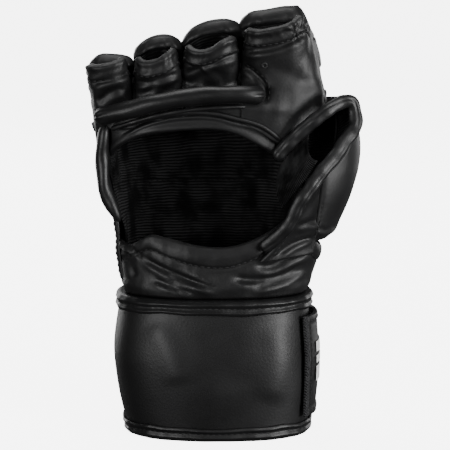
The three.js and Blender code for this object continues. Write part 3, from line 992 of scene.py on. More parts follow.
class GLOVE_OT_cuff(bpy.types.Operator):
    """The padded cuff with its lining and the bindings over its edges"""

    bl_idname = "glove.cuff"
    bl_label = "Cuff"

    def execute(self, context):
        finishes()
        heights = (CUFF_INSET, CUFF_TOP - CUFF_INSET)
        shell = Skin(band((0, 360), *heights, 6.3), wraps=True, rounded=2)
        relief = 0.7 * np.sin(math.pi * shell.v) + soft(shell.points, 1, 22, 60, 0.3)
        relief += shell.folds(CUFF_FOLDS)
        cover = shell.build("cuff_shell", "shell leather", 4.6, relief)
        settle([cover], "cuff", replaces=["cuff_cover", "cuff_foam"])
        inner = Skin(band((0, 360), *heights, 1.3), 1.5, 0.8, wraps=True, rounded=0.6)
        relief = soft(inner.points, 2, 10, 30, 0.25)
        liner = inner.build("cuff_lining", "lining mesh", LINING_THICK, 0, relief)
        settle([liner], "cuff", replaces=["cuff_liner"])
        binding("cuff_hem", 0, 1, "cuff_bottom_binding", "smooth leather")
        binding("cuff_collar", CUFF_TOP, -1, "cuff_top_binding", "smooth leather")
        return {"FINISHED"}


# ---- Strap ----

STRAP_HEIGHTS = (10, 61)
STRAP_MIDDLE = 35.5
STRAP_INSET = 3
MARK_ANGLES = (-17, 3)
MARK_ROWS = [(27, 34.6), (36.2, 40), (41.8, 47)]


def strap_skin(angles, offset, heights=STRAP_HEIGHTS, step=1.2, rounded=0.8):
    return Skin(band(angles, *heights, offset), step, rounded=rounded)


class GLOVE_OT_strap(bpy.types.Operator):
    """The wrist strap in three lengths, its folds, hook and loop tapes, end tape and bars"""

    bl_idname = "glove.strap"
    bl_label = "Strap"

    def execute(self, context):
        finishes()
        tape_heights = (STRAP_HEIGHTS[0] + STRAP_INSET, STRAP_HEIGHTS[1] - STRAP_INSET)
        tapes = [
            ("strap_loops", (-24, 120), 7.2, 0.6, "cuff", "loop_patch"),
            ("strap_hooks_middle", (63, 121), 8.2, 0.7, "strap_middle", "strap_middle_hooks"),
            ("strap_hooks_end", (-24, 53), 8.2, 0.7, "strap_end", "strap_end_hooks"),
        ]
        for name, angles, offset, thick, body, node in tapes:
            skin = strap_skin(angles, offset, tape_heights, 0.9, 0.3)
            relief = 0.1 * ripple(skin.points, 1.6, 3.5, len(name))
            tape = skin.build(name, "hook and loop", thick, relief)
            settle([tape], body, replaces=[node])
        lengths_of_strap = [
            ("strap_root", (127.5, 151), "cuff", "strap_base"),
            ("strap_back", (60, 124), "strap_middle", "strap_middle"),
            ("strap_flap", (-27.6, 56), "strap_end", "strap_end"),
        ]
        for name, angles, body, node in lengths_of_strap:
            skin = strap_skin(angles, 10.2)
            edge = np.minimum(skin.low, skin.high)
            relief = hem(edge, 4.2, 0.35, 0.35) + soft(skin.points, 5, 12, 40, 0.35)
            length = skin.build(name, "shell leather", 1.7, relief)
            lines = [skin.beside("low", 3.0), skin.beside("high", 3.0)]
            if name == "strap_flap":
                lines.append(skin.beside("left", 2.6, 0.08, 0.92))
            settle([length, sew(name, lines)], body, replaces=[node])
        folds = [
            ("strap_fold_root", (122.8, 129.2), "cuff", "strap_middle", 129, 123.4),
            ("strap_fold_back", (54.8, 61.2), "strap_middle", "strap_end", 60.8, 55.2),
        ]
        fold_heights = (STRAP_HEIGHTS[0] + 0.6, STRAP_HEIGHTS[1] - 0.6)
        for name, angles, still, moving, start, end in folds:
            skin = strap_skin(angles, 10.9, fold_heights, 0.8, 1.0)
            relief = soft(skin.points, 6, 8, 20, 0.25)
            fold = skin.build(name, "smooth leather", 2.4, relief)
            ends = [metres(*hand_point(a, STRAP_MIDDLE, 9.3)) for a in (start, end)]
            settle([fold], blend=(still, moving, *ends))
        end = strap_skin((-31.4, -26.8), 10.5, STRAP_HEIGHTS, 0.5, 0.7)
        relief = 0.12 * np.sin(end.low * 2 * math.pi / WEAVE_PITCH) + soft(end.points, 7, 5, 14, 0.15)
        woven = end.build("strap_end_binding", "woven tape", 2.2, relief)
        settle([woven], "strap_end", replaces=["strap_end_tape"])
        self.add_bars()
        return {"FINISHED"}

    def add_bars(self):
        """Three plain raised bars in one mesh."""
        made = []
        for number, rows in enumerate(MARK_ROWS):
            skin = strap_skin(MARK_ANGLES, 10.95, rows, 0.6, 0.25)
            made.append(skin.build(f"strap_bar_{number}", "print", 0.5))
        with bpy.context.temp_override(active_object=made[0], selected_editable_objects=made):
            bpy.ops.object.join()
        made[0].name = "strap_bars"
        settle([made[0]], "strap_end", replaces=["strap_mark"])


# ---- Back of the hand ----

SHELL_ANGLES = (20.5, 194.5)
SHELL_LOW = CUFF_TOP + 0.4
SHELL_EDGE = 0.45  # share of its thickness left at the edge beside the little finger
LINING_ANGLES = (23, 192)
LINING_SEAM = 125
LINING_FLARE = 3.0  # how far the lining stands out beside the little finger
BACK_SEAMS = [
    ([(-56, 100), (-20, 103), (10, 103), (44, 99)], 1.5, 1.5, 0.35),
    ([(-58, 119), (-20, 122), (12, 122), (46, 118)], 1.5, 1.5, 0.35),
    ([(-59, 138), (-20, 142), (12, 143), (46, 139)], 1.5, 1.6, 0.35),
    ([(-44, 140), (-44.5, 150), (-44.5, 162)], 1.6, 1.4, 0),
    ([(-20, 142), (-20.5, 154), (-20.5, 168)], 1.6, 1.4, 0),
    ([(8, 143), (8, 155), (8, 172)], 1.6, 1.4, 0),
]


class GLOVE_OT_back(bpy.types.Operator):
    """The padded back of the hand, its linings, the wrist sleeve and the folds behind the knuckles"""

    bl_idname = "glove.back"
    bl_label = "Back of the hand"

    def execute(self, context):
        finishes()
        self.add_shell()
        self.add_linings()
        for finger in FINGERS:
            self.add_knuckle_fold(finger)
        return {"FINISHED"}

    def add_shell(self):
        def outside(angle, height, _):
            return 3.5 + foam_thickness(angle, height)

        skin = Skin(band(SHELL_ANGLES, SHELL_LOW, knuckle_height, outside), 1.3, rounded=3.2)
        thick = foam_thickness(mix(*SHELL_ANGLES, skin.u), skin.points[..., 2]) + 1.9
        thick = thick * mix(SHELL_EDGE, 1, step_up(1, 15, skin.right))
        relief = hem(skin.right, 4.5, 0.5) + hem(skin.left, 4.5, 0.4)
        relief += soft(skin.points, 11, 12, 45, 0.6)
        relief += skin.folds(BACK_SEAMS, taper=0.12, facing=1)
        relief += soft(skin.points, 12, 5, 12, 0.22) * bell(skin.high, 16)
        shell = skin.build("back_shell", "shell leather", thick, relief)
        lines = [skin.beside("right", 4.4, 0.03, 0.97), skin.beside("left", 4.4, 0.05, 0.95)]
        for path, *_ in BACK_SEAMS[:3]:
            places = [(x, z + 2.6) for x, z in path]
            lines.append(skin.drape(places, 1))
        thread = sew("back_shell", lines)
        settle([shell, thread], blend=WRIST, replaces=["back_cover", "back_foam", "knuckle_foam"])

    def add_linings(self):
        def flared(angle, height, _):
            return 1.3 + LINING_FLARE * step_up(175.1, 192, angle) * step_up(100, 116, height)

        def top(angle):
            return np.maximum(131, knuckle_height(angle))

        parts = [("lower", 84.5, LINING_SEAM + 0.1), ("upper", LINING_SEAM - 0.1, top)]
        for part, low, high in parts:
            name = "back_lining_" + part
            skin = Skin(band(LINING_ANGLES, low, high, flared), 1.4, 0.45, rounded=0.3)
            wave = skin.ribs(skin.points[..., 2], 21, 14, 40, wander=3)
            faint = 0.6 + 0.5 * ripple(skin.points, 10, 24, 22)
            inner = 0.28 * wave * np.clip(faint, 0, 1) + 0.5 * ripple(skin.points, 16, 45, 23)
            lining = skin.build(name, "lining mesh", LINING_THICK, 0, inner)
            line = skin.beside("high", 1.1, inside=True)
            thread = stitches(name + "_stitches", [line], "dark cloth and painted shade", 1.3, 1.5, 0.2)
            node = "back_liner_" + part
            settle([lining, thread], "hand", replaces=[node])

        def drawn_in(angle, height, up):
            return -7.3 + 6.6 * step_up(0.6, 1, up)

        skin = Skin(band((0, 360), 58, 84, drawn_in), 1.4, 0.8, wraps=True, rounded=0.5)
        relief = soft(skin.points, 24, 9, 24, 0.25)
        sleeve = skin.build("wrist_cuff_lining", "lining mesh", CLOTH_THICK, relief)
        settle([sleeve], "hand", replaces=["wrist_sleeve"])

    def add_knuckle_fold(self, name):
        """A soft roll across the back of each knuckle, between the hand's pad and the finger's."""
        finger = FINGERS[name]
        half = finger_half(finger, 0) - 0.4
        share = spread(30, 0.13)[:, None]
        across = (share * 2 - 1) * half
        swell = rounding(np.minimum(share, 1 - share) * 2 * half / 4.5, 0.15)
        turn = np.linspace(0, 2 * math.pi, 36, endpoint=False)[None]
        deep = 17.4 + swell * 5.6 * signed_power(np.cos(turn), 0.8)
        up = -4.4 + swell * 8.2 * signed_power(np.sin(turn), 0.8)
        rings = finger_place(finger, across + 0 * turn, deep, up)
        rings += (soft(rings, 30, 5, 14, 0.35) * swell)[..., None] * [0, 1, 0.3]
        fold = tube(name + "_knuckle_fold", rings, "smooth leather")
        ends = [metres(*finger_place(finger, 0.0, 17.0, up)) for up in (-9.0, 3.0)]
        settle([fold], blend=("hand", name, *ends))


# ---- Palm ----

HEEL_FOLDS = [
    ([(-43, 91.6), (-27.8, 84.7), (-14.8, 79.8), (-1, 75)], 1.3, 1.5, 0.8),
    ([(-36, 81), (-24.4, 76.5), (-15, 74)], 1.0, 0.9, 0.5),
    ([(13, 88.3), (22.3, 87), (32.6, 91.1), (42, 94.8)], 1.7, 1.6, 0.9),
    ([(2, 82.2), (15.4, 80.5), (27.1, 81.9), (40, 87.6)], 1.5, 1.5, 0.9),
    ([(12, 76.3), (26.9, 79.4), (41, 84.9)], 1.3, 1.3, 0.8),
    ([(-49, 97), (-45.9, 94.6), (-41, 90)], 1.0, 1.1, 0.7),
    ([(-52, 90), (-47, 86), (-44, 80)], 1.5, 0.9, 0.6),
    ([(-20, 88), (-4, 84), (8, 86)], 2.4, 0.6, 0.4),
]
ARCH_SEAM = [
    (-52, 150.5), (-40, 157), (-30, 160), (-15.5, 161.6), (-3.7, 161), (5.1, 158.6), (16.8, 155.5),
    (27, 148),
]
ARCH_FOLDS = [(ARCH_SEAM, 0.9, 1.1, 0.9)]
SIDE_FOLDS = [([(26, 150), (33, 158), (42, 165), (50, 170)], 1.2, 0.9, 0.8)]
RIDGE_PATH = [
    (-44, 157.3), (-30, 161), (-15.5, 162.6), (-3.7, 161.8), (5.1, 159.6), (12, 157.9), (18, 155.6),
    (23.5, 151.8), (28, 147.5),
]
BAR_PATH = [
    (-63, -17.8, 158.6), (-58, -20.5, 160.8), (-48, -25, 163.6), (-33, -28, 167.6), (-17, -29.2, 170.6),
    (3, -29.4, 171.7), (13, -28.2, 171.6), (18.5, -24, 170.8),
]
BAR_RADII = (4.8, 4.4)
PIPING_PATH = [
    (-55.5, -17.6, 153.8), (-46, -23.4, 157.4), (-31, -25.4, 161.6), (-14, -26.4, 164.4),
    (2, -26, 165.4), (10, -23.2, 165.4),
]
PINKY_HEM_PATH = [
    (-52, -12.4, 107), (-56, -12, 115), (-59.2, -11.4, 125), (-60.7, -11, 136), (-60, -12, 147),
    (-58.6, -14, 156),
]
HEEL_ANGLES = (195.3, 379)


class GLOVE_OT_palm(bpy.types.Operator):
    """The heel of the palm, the band under the bar, the side panels and the grip bar"""

    bl_idname = "glove.palm"
    bl_label = "Palm"

    def execute(self, context):
        finishes()
        self.add_heel()
        self.add_arch()
        self.add_bar()
        return {"FINISHED"}

    def add_heel(self):
        top = column(heel_hem_at, 0)
        hem_width = column(heel_hem_width, 0)
        skin = Skin(band(HEEL_ANGLES, SHELL_LOW, top, 4.8), 1.0, 0.8, rounded=1.3)
        width = hem_width(mix(*HEEL_ANGLES, skin.u))
        relief = 0.9 * bell(skin.high - 0.5 * width, 0.45 * width) + hem(skin.high, width, 0.35, 0.6)
        relief += soft(skin.points, 41, 10, 34, 0.55) + soft(skin.points, 42, 4, 10, 0.16)
        relief += skin.folds(HEEL_FOLDS, (1.15, 0.9, 0.7))
        relief += pucker(skin.points, (-46, 94), 3.6, 0.35, 7)
        relief += 0.9 * bell(skin.low - 4.5, 3.4) - 0.3
        heel = skin.build("palm_heel", "shell leather", 2.3, relief)
        share = np.linspace(0.03, 0.97, 260)
        tall = np.interp(share, skin.u[0], skin.high[0])
        width = hem_width(mix(*HEEL_ANGLES, share))
        lines = [skin.line(share, 1 - (width - 0.2) / tall)]
        lines.append(skin.drape([(-35, 78.8), (-24.4, 74.6), (-19, 73.4)]))
        thread = sew("palm_heel", lines)
        settle([heel, thread], blend=WRIST, replaces=["heel_panel"])

        inner = Skin(band((198, 376), 76, lambda a: top(a) - 2.5, 2.3), 1.5, 0.9, rounded=0.6)
        relief = soft(inner.points, 43, 8, 26, 0.2)
        lining = inner.build("palm_heel_lining", "lining mesh", LINING_THICK, 0, relief)
        settle([lining], blend=WRIST, replaces=["heel_lining"])

    def add_arch(self):
        edges = column(arch_at, 0), column(arch_at, 1)
        skin = Skin(band((189, 304), *edges, 2.6), 0.9, 0.7, rounded=1.2)
        relief = bell(skin.low - 1.8, 2.4) + soft(skin.points, 51, 14, 36, 0.35)
        relief += skin.folds(ARCH_FOLDS, taper=0.1)
        arch = skin.build("palm_arch", "shell leather", 2.1, relief)
        way = np.array(RIDGE_PATH, float)
        way = np.column_stack([way[:, 0], hand_front(way[:, 0], way[:, 1], 3.3), way[:, 1]])
        cover = "shell leather"
        ridge = roll("palm_ridge", way, (0, 0, 1), (1.5, 1.3), cover, None, 0.7, 18, 4)
        settle([arch], "hand", replaces=["arch_band"])
        settle([ridge], "hand")

        def tucked(angle, height, up):
            return 1.6 - 4 * step_up(0.55, 1, up)

        edges = column(index_panel_at, 0), column(index_panel_at, 1)
        side = Skin(band((297, 353), *edges, tucked), 0.9, rounded=1.2)
        relief = soft(side.points, 52, 6, 20, 0.5) + side.folds(SIDE_FOLDS)
        panel = side.build("index_side", "shell leather", 2.1, relief)
        ends = metres(30, -18, 158), metres(54, -12, 168)
        settle([panel], blend=("hand", "thumb", *ends), replaces=["index_side_panel"])

    def add_bar(self):
        def gathered(turn, start, end):
            ends = 1.3 * bell(start, 6.5) + 1.2 * bell(end, 6.0)
            folds = np.cos(9 * turn + 0.6) + 0.6 * np.cos(14 * turn)
            long_dents = 0.12 * np.sin(start / 5 + 2 * turn) + 0.08 * np.sin(start / 2.3 + turn)
            return 0.3 * folds * ends + long_dents

        cover = "smooth leather"
        bar = roll("grip_bar", BAR_PATH, (0, 0, 1), BAR_RADII, cover, gathered, 0.7, 44, 4.6)
        settle([bar], "hand", replaces=["grip_bar_cover", "grip_bar_core"])

        def waved(turn, start, end):
            return 0.12 * np.sin(start / 1.7) + 0.1 * np.sin(start / 4.1 + 1)

        def rumpled(turn, start, end):
            return 0.3 * np.sin(start / 5.3 + turn) + 0.22 * np.sin(start / 2.9 + 2 * turn)

        piping = roll("grip_bar_piping", PIPING_PATH, (0, 0, 1), (1.2, 1.2), cover, waved, 0.7, 18)
        edge = roll("pinky_edge", PINKY_HEM_PATH, (1, 0, 0), (4.0, 3.4), cover, rumpled, 0.8, 32, 11)
        settle([piping], "hand")
        settle([edge], "hand", replaces=["pinky_edge_hem"])


# ---- Fingers ----

WALL_LOW = -15
# The leather at an outer finger's free side: which side, and its height at its front and its back.
SIDE_WALLS = [("index", 1, (31.5, 20)), ("pinky", -1, (18.5, 14.5))]
BAND_WIDTH = 8.6
TACK_CENTRE = (19.3, 185.2)
TACK_RADIUS = 1.1
# The folds of leather between the fingers, drawn in near-black matte cloth as painted shade: where each
# stands and the height of the hinges beside it.
FINGER_WEBS = {
    "web_pinky_ring": (-44.2, 167),
    "web_ring_middle": (-20.2, 171),
    "web_middle_index": (7.6, 174),
}
FINGER_FOLDS = {
    "pinky": [
        ([(-66, 175), (-60.7, 177.1), (-53.2, 179.6), (-45, 181.3)], 1.2, 1.2, 0.8),
        ([(-63, 166.5), (-56.3, 171.2), (-48, 174)], 1.6, 1.3, 0.9),
    ],
    "ring": [
        ([(-45, 177), (-38.8, 176.4), (-30.8, 178.4), (-22, 180.8)], 1.2, 1.2, 0.8),
        ([(-43, 168), (-38, 171.5), (-33, 176)], 1.5, 0.9, 0.7),
        ([(-30, 171), (-26, 174), (-22, 177)], 1.5, 0.7, 0.5),
    ],
    "middle": [
        ([(-20, 180.2), (-13.5, 183), (-8.4, 185.2), (0, 188.2), (7, 190)], 1.2, 1.2, 0.8),
        ([(-19, 171), (-15, 177), (-10, 182.5)], 2.4, 2.0, 0.4),
        ([(-11, 184), (-4, 180.5), (1, 176)], 1.6, 0.7, 0.6),
    ],
    "index": [
        ([(7, 191.3), (13.5, 192.1), (21.5, 193.2), (26.9, 194.6), (32.3, 196.8), (41, 201.5)],
         1.1, 1.2, 0.9),
        ([(8, 184.6), (14.8, 180), (18.9, 175.5), (19.8, 171.4), (18.6, 166)], 1.1, 1.4, 0.9),
        ([(20, 184.4), (27, 182), (35.8, 177.9), (44, 172)], 2.6, 0.6, 0.9),
    ],
}


class GLOVE_OT_fingers(bpy.types.Operator):
    """The four finger stalls with their linings and padded backs"""

    bl_idname = "glove.fingers"
    bl_label = "Fingers"

    def execute(self, context):
        finishes()
        for number, name in enumerate(FINGERS):
            self.add_stall(name, number)
            self.add_lining(name)
            self.add_pad(name, number)
        for name, side, high in SIDE_WALLS:
            self.add_wall(name, side, high)
        for name, (x, height) in FINGER_WEBS.items():
            path = [(x, -12, height - 11), (x, -6, height - 1), (x - 0.4, -3, height + 11)]
            # Each web is near-black matte cloth, as painted shade for the gap between two stalls.
            web = roll(name, path, (0, 1, 0), (2.4, 6.2), "dark cloth and painted shade", None, 0.9, 20)
            settle([web], "hand")
        return {"FINISHED"}

    def bend(self, name):
        finger = FINGERS[name]
        ends = [metres(*finger_place(finger, 0.0, -8.0, up)) for up in (-7.0, 6.0)]
        return ("hand", name, *ends)

    def add_wall(self, name, side, high):
        """The leather at the free side of an outer finger, from its front to its padded back."""
        finger = FINGERS[name]

        def surface(u, v):
            up = mix(WALL_LOW, mix(*high, u), v)
            reach = finger_half(finger, up) - 0.6 + 1.2 * np.sin(math.pi * u)
            return finger_place(finger, side * reach, mix(-3.0, finger["depth"] + PAD_START + 2.5, u), up)

        skin = Skin(surface, 0.9, centre=finger_place(finger, 0.0, 5.0, 0.0), rounded=1.2)
        relief = soft(skin.points, 150 + side, 5, 16, 0.5) + hem(skin.high, 3.0, 0.3, 0.3)
        wall = skin.build(name + "_side_wall", "shell leather", 1.9, relief)
        settle([wall], blend=self.bend(name))

    def add_stall(self, name, number):
        finger = FINGERS[name]
        edge_at = column(smooth_table(finger["front_edge"]), 0)
        low_at = column(smooth_table(finger["low_edge"]), 0)

        def surface(u, v):
            angle = mix(181, 359, u)
            share = 0.5 + 0.5 * np.cos(np.radians(angle))
            corner = STALL_CORNER * step_up(0.9, 1, np.abs(2 * share - 1))
            up = mix(low_at(share), finger["front"] + edge_at(share) - corner, v)
            drawn = STALL_DRAWN * step_up(0.72, 1, v)
            point = finger_point(finger, angle, up, STALL_WALL + 0.3 - drawn)
            palm = hand_front(point[..., 0], point[..., 2], STALL_FLARE)
            flared = 1 - step_up(-9, 7, up)
            point[..., 1] = mix(point[..., 1], np.minimum(palm, point[..., 1]), flared)
            point[..., 1] += finger["recess"] * bell(up - 3, 8) * np.sin(math.pi * u)
            return point

        centre = finger_place(finger, 0.0, 6.0, 12.0)
        skin = Skin(surface, 0.8, centre=centre, rounded=1.1)
        relief = hem(skin.high, BAND_WIDTH, 0.5, 0.7) + 1.1 * bell(skin.high - 1.8, 1.8)
        relief += soft(skin.points, 60 + number, 13, 34, 0.7) + soft(skin.points, 70 + number, 4, 9, 0.12)
        gathers = np.sin(skin.left * 2 * math.pi / 6.5 + 3 * ripple(skin.points, 9, 20, 76 + number))
        relief += 0.22 * gathers * bell(skin.high - 3.0, 3.2)
        relief += skin.folds(FINGER_FOLDS[name], (1.3, 1, 0.45), taper=0.16)
        if name == "index":
            relief += pucker(skin.points, (34, 202), 6.0, 0.6, 7)
        relief *= step_up(0, 3.5, np.minimum(skin.left, skin.right))
        stall = skin.build(name + "_front", "shell leather", STALL_WALL + 0.2, relief)
        lines = [skin.beside("high", BAND_WIDTH - 0.6, 0.04, 0.96)]
        if name == "index":
            lines.append(skin.drape([(10, 185), (16.6, 181.4), (20.8, 176.4), (21.6, 171.4), (20.6, 167)]))
        thread = sew(name + "_front", lines)
        settle([stall, thread], blend=self.bend(name), replaces=[name + "_stall"])
        if name == "index":
            turn = np.linspace(0, 2 * math.pi, 25)
            ring = np.column_stack([np.cos(turn), np.sin(turn)])
            place, way = skin.drape(TACK_CENTRE + TACK_RADIUS * ring)
            path = place + 0.1 * way
            tack = roll("index_tack", path, (0, 1, 0), (0.5, 0.45), "thread", None, 0.3, 12)
            settle([tack], "index")

    def top(self, finger, across, up):
        """Lifts the pad's far end to its edge's shape."""
        edge_at = column(smooth_table(finger["back_edge"]), 0)
        share = np.clip(0.5 + across / (2 * finger_half(finger, up)), 0, 1)
        return up + edge_at(share) * step_up(0.35, 1, up / finger["back"])

    def add_lining(self, name):
        finger = FINGERS[name]

        def surface(u, v):
            angle = mix(6, 174, u)
            up = mix(1.5, finger["back"] - 4.5, v)
            point = finger_point(finger, angle, up, 1.3)
            across = signed_power(np.cos(np.radians(angle))) * (finger_half(finger, up) - 0.5)
            lift = self.top(finger, across, up) - up
            return point + lift[..., None] * [0, -math.sin(FINGER_LEAN), math.cos(FINGER_LEAN)]

        centre = finger_place(finger, 0.0, -6.0, 10.0)
        skin = Skin(surface, 0.9, 0.45, centre=centre, rounded=0.6)
        wave = RIB_HEIGHT * skin.ribs(skin.v * skin.tall, 80, 8, 20)
        lining = skin.build(name + "_lining_cloth", "lining mesh", CLOTH_THICK, 0, wave)
        settle([lining], name, replaces=[name + "_lining"])

    def add_pad(self, name, number):
        finger = FINGERS[name]
        back = finger["back"]
        front = finger["depth"] + PAD_START
        share = spread(34, 0.16)[:, None]
        up = mix(-0.5, back, share)
        swell = rounding(np.minimum(up + 0.5, back - up) / 4.2, 0.14)
        turn = np.linspace(0, 2 * math.pi, 64, endpoint=False)[None]
        thick = mix(finger["pad"], finger["pad"] * 0.62, (up / back) ** 2) + 1.7
        half = (finger_half(finger, up) - 1.1 * (1 - swell)) * (0.55 + 0.45 * swell)
        across = (half + 0.5 * swell) * signed_power(np.cos(turn), 0.62)
        rolled = 2.4 * bell(back - up - 2, 2.6) * step_up(0.2, -0.6, np.sin(turn))
        wave = np.sin(across * 2 * math.pi / 4.3 + 2 * np.sin(across / 3))
        gathers = 0.6 * bell(back - up - 2.5, 3) * wave
        deep = front + thick / 2 + swell * thick / 2 * signed_power(np.sin(turn), 0.55)
        deep = deep - swell * (rolled + gathers * step_up(0.3, -0.3, np.sin(turn)))
        rings = finger_place(finger, across, deep, self.top(finger, across, up + 0 * turn))
        out = np.stack([np.cos(turn) + 0 * up, np.sin(turn) + 0 * up, 0 * (up + turn)], -1)
        relief = soft(rings, 90 + number, 6, 22, 0.4) - 0.9 * bell(up - 0.62 * back, 1.3)
        relief += 0.5 * bell(back - up - 1.2, 1.2)
        rings += out * (relief * swell * (np.sin(turn) > -0.2))[..., None]
        pad = tube(name + "_pad", rings, "shell leather")
        wall = HINGE_Y + front * math.cos(FINGER_LEAN)

        def keep(points):
            up_finger = (points[:, 2] - finger["hinge"]) * math.sin(FINGER_LEAN)
            return step_up(0, 5, points[:, 1] + up_finger - wall)

        plump(pad, 1.6, keep, cell=4.0)
        settle([pad], name, replaces=[name + "_pad_cover", name + "_foam"])


# ---- Thumb ----

RIM_PATH = [
    (24.4, -24.4, 139.8), (33, -24.4, 149.6), (42, -25, 157.5), (54, -22, 166), (62, -15.5, 166.5),
    (64, -16.5, 158), (57.5, -24, 147), (46.5, -32, 134), (37, -34.4, 121), (31.5, -33.6, 110),
    (25, -32, 102), (17.5, -30.6, 96.5),
]
RIM_RADII = (3.4, 1.9)
THUMB_ANGLES = (-74, 30)
BEHIND_THUMB = (40, 30, 125)
PANEL_OVER_HEEL = 6.9  # the offset at which the panel's lower end lies on the heel
WEB_FAR = [(26, -22.6, 135.6), (30.5, -23.2, 141.5), (35.5, -24, 147), (40.5, -24.6, 152.4)]
WEB_NEAR = [(27.5, -31.4, 116.5), (33, -32, 123.5), (38.5, -32, 130.5), (44.8, -31, 140)]
PANEL_RIM = [
    (17.5, -30.2, 89.5), (24.5, -31.4, 97), (30.5, -32.8, 106), (35.5, -33.6, 114), (40.5, -33.6, 123),
    (49, -31.6, 135),
]
PANEL_SEAM = [
    (43.5, -15.8, 92), (45.6, -16.5, 99), (46.6, -17.8, 106), (47.2, -18.6, 115), (47.8, -19, 125),
    (53.5, -19, 138),
]
THUMB_BEND = ("hand", "thumb", metres(26, -28, 110), metres(44, -28, 124))
COLLAR_START = (0.5, 1.0, -0.5)
COLLAR_TURN = 14
PANEL_FOLDS = [
    ([(25, 93), (33, 98), (43, 101)], 1.4, 0.9, 0.6),
    ([(34, 107), (40, 109), (47, 108)], 1.6, 0.7, 0.5),
]
THUMB_FOLDS = [
    ([(47, 106), (51, 104), (57, 105.5)], 1.5, 0.5, 0.4),
]


class GLOVE_OT_thumb(bpy.types.Operator):
    """The thumb's pad, lining, rim, elastic web, collar, gusset and the panel to the palm"""

    bl_idname = "glove.thumb"
    bl_label = "Thumb"

    def execute(self, context):
        finishes()
        self.add_pad()
        self.add_rim()
        self.add_web()
        self.add_panel()
        self.add_gusset()
        self.add_collar()
        return {"FINISHED"}

    def add_collar(self):
        """The leather from the rim of the thumb's opening to the upper edge of the pad."""
        first = curve(RIM_PATH[3:8], 200) + COLLAR_START
        angle = np.linspace(COLLAR_TURN, THUMB_ANGLES[0], 200)
        second = thumb_point(angle, thumb_edges(angle)[..., 1] - 1.5, -1.2)
        skin = Skin(surface_between(first, second), 0.8, centre=THUMB_MIDDLE, rounded=1.0)
        relief = soft(skin.points, 141, 6, 18, 0.4) + 1.2 * np.sin(math.pi * skin.u)
        collar = skin.build("thumb_collar", "shell leather", 2.2, relief)
        settle([collar], "thumb")
        first = first + [-1.2, 2.6, -0.6]
        second = thumb_point(angle, thumb_edges(angle)[..., 1] - 5, -7.4)
        inside = Skin(surface_between(first, second), 0.8, 0.5, centre=THUMB_MIDDLE, rounded=0.6)
        ribs = RIB_HEIGHT * inside.ribs(inside.u * inside.wide, 142, 9, 20)
        lining = inside.build("thumb_collar_lining", "lining mesh", CLOTH_THICK, 0, ribs)
        settle([lining], "thumb")

    def add_gusset(self):
        """The soft wall behind the thumb, from the back of the hand to the far edge of the thumb's pad."""

        def surface(u, v):
            height = mix(97, 167, v)
            start = hand_point(24, np.minimum(height, 164), 2.6)
            end = thumb_point(26, height, -1.6)
            point = mix(start, end, u[..., None])
            point[..., 2] = height
            return point + (3.5 * np.sin(math.pi * u))[..., None] * [0, 1, 0]

        skin = Skin(surface, 1.0, 0.7, centre=(48, -30, 130), rounded=1.0)
        ribs = RIB_HEIGHT * skin.ribs(skin.points[..., 2], 131, 9, 20)
        relief = soft(skin.points, 132, 7, 22, 0.4)
        wall = skin.build("thumb_gusset", "lining mesh", 1.8, relief, ribs)
        ends = metres(45, 9, 130), metres(60, 12, 130)
        settle([wall], blend=("hand", "thumb", *ends))

    def add_pad(self):
        low, high = column(thumb_edges, 0), column(thumb_edges, 1)
        surface = band(THUMB_ANGLES, low, high, 0.3, thumb_point)
        skin = Skin(surface, 0.9, centre=THUMB_MIDDLE, rounded=3.0)
        relief = soft(skin.points, 101, 16, 40, 0.35) + 0.5 * bell(skin.low - 2.4, 2.2)
        relief += hem(skin.left, 2.6, 0.3, 0.45) - 2.4 * (1 - step_up(0, 10, skin.low))
        relief += skin.folds(THUMB_FOLDS)
        pad = skin.build("thumb_pad", "shell leather", THUMB_PAD_THICK, relief)

        def keep(points):
            reach = np.hypot(points[:, 0] - THUMB_CENTRE[0], points[:, 1] - THUMB_CENTRE[1])
            return step_up(15, 19, reach) * step_up(96, 104, points[:, 2])

        plump(pad, 1.3, keep, cell=4.5)
        thread = sew("thumb_pad", [skin.beside("left", 2.4, 0.05, 0.95)])
        settle([pad, thread], "thumb", replaces=["thumb_pad_cover", "thumb_foam"])

        inner = band((-70, 26), lambda a: low(a) + 4, lambda a: high(a) - 1, -7.6, thumb_point)
        inside = Skin(inner, 1.2, 0.6, centre=THUMB_MIDDLE, rounded=0.6)
        relief = soft(inside.points, 102, 8, 20, 0.2)
        lining = inside.build("thumb_lining_cloth", "lining mesh", CLOTH_THICK, 0, relief)
        settle([lining], "thumb", replaces=["thumb_lining"])

    def add_rim(self):
        def folded(turn, start, end):
            groove = 0.35 * bell(np.cos(turn) - 0.35, 0.16) * (np.sin(turn) < 0)
            return 0.22 * np.sin(start / 3.1 + turn) + 0.14 * np.sin(start / 1.3) - groove

        cover = "smooth leather"
        rim = roll("thumb_opening_rim", RIM_PATH, (0, 1, 0), RIM_RADII, cover, folded, 0.8, 40)
        settle([rim], blend=THUMB_BEND, replaces=["thumb_rim"])

    def add_web(self):
        ruled = surface_between(curve(WEB_NEAR, 200), curve(WEB_FAR, 200))

        def surface(u, v):
            middle = np.sin(math.pi * u)
            drawn = (2.2 * middle * (1 - v) ** 2)[..., None] * [1, 0, 0.4]
            return ruled(u, v * (1 - 0.14 * middle)) - drawn

        skin = Skin(surface, 0.7, 0.2, centre=BEHIND_THUMB, rounded=0.5)
        ribs = RIB_HEIGHT * skin.ribs(skin.v * skin.tall, 111, 6, 14, 0.95, 0.8)
        bow = -1.6 * np.sin(math.pi * skin.u) * np.sin(math.pi * np.clip(skin.v, 0, 1))
        web = skin.build("thumb_web_elastic", "elastic web", 1.3, ribs + bow, -bow)
        settle([web], blend=THUMB_BEND, replaces=["thumb_web"])

    def add_panel(self):
        ruled = surface_between(curve(PANEL_RIM, 200), curve(PANEL_SEAM, 200))

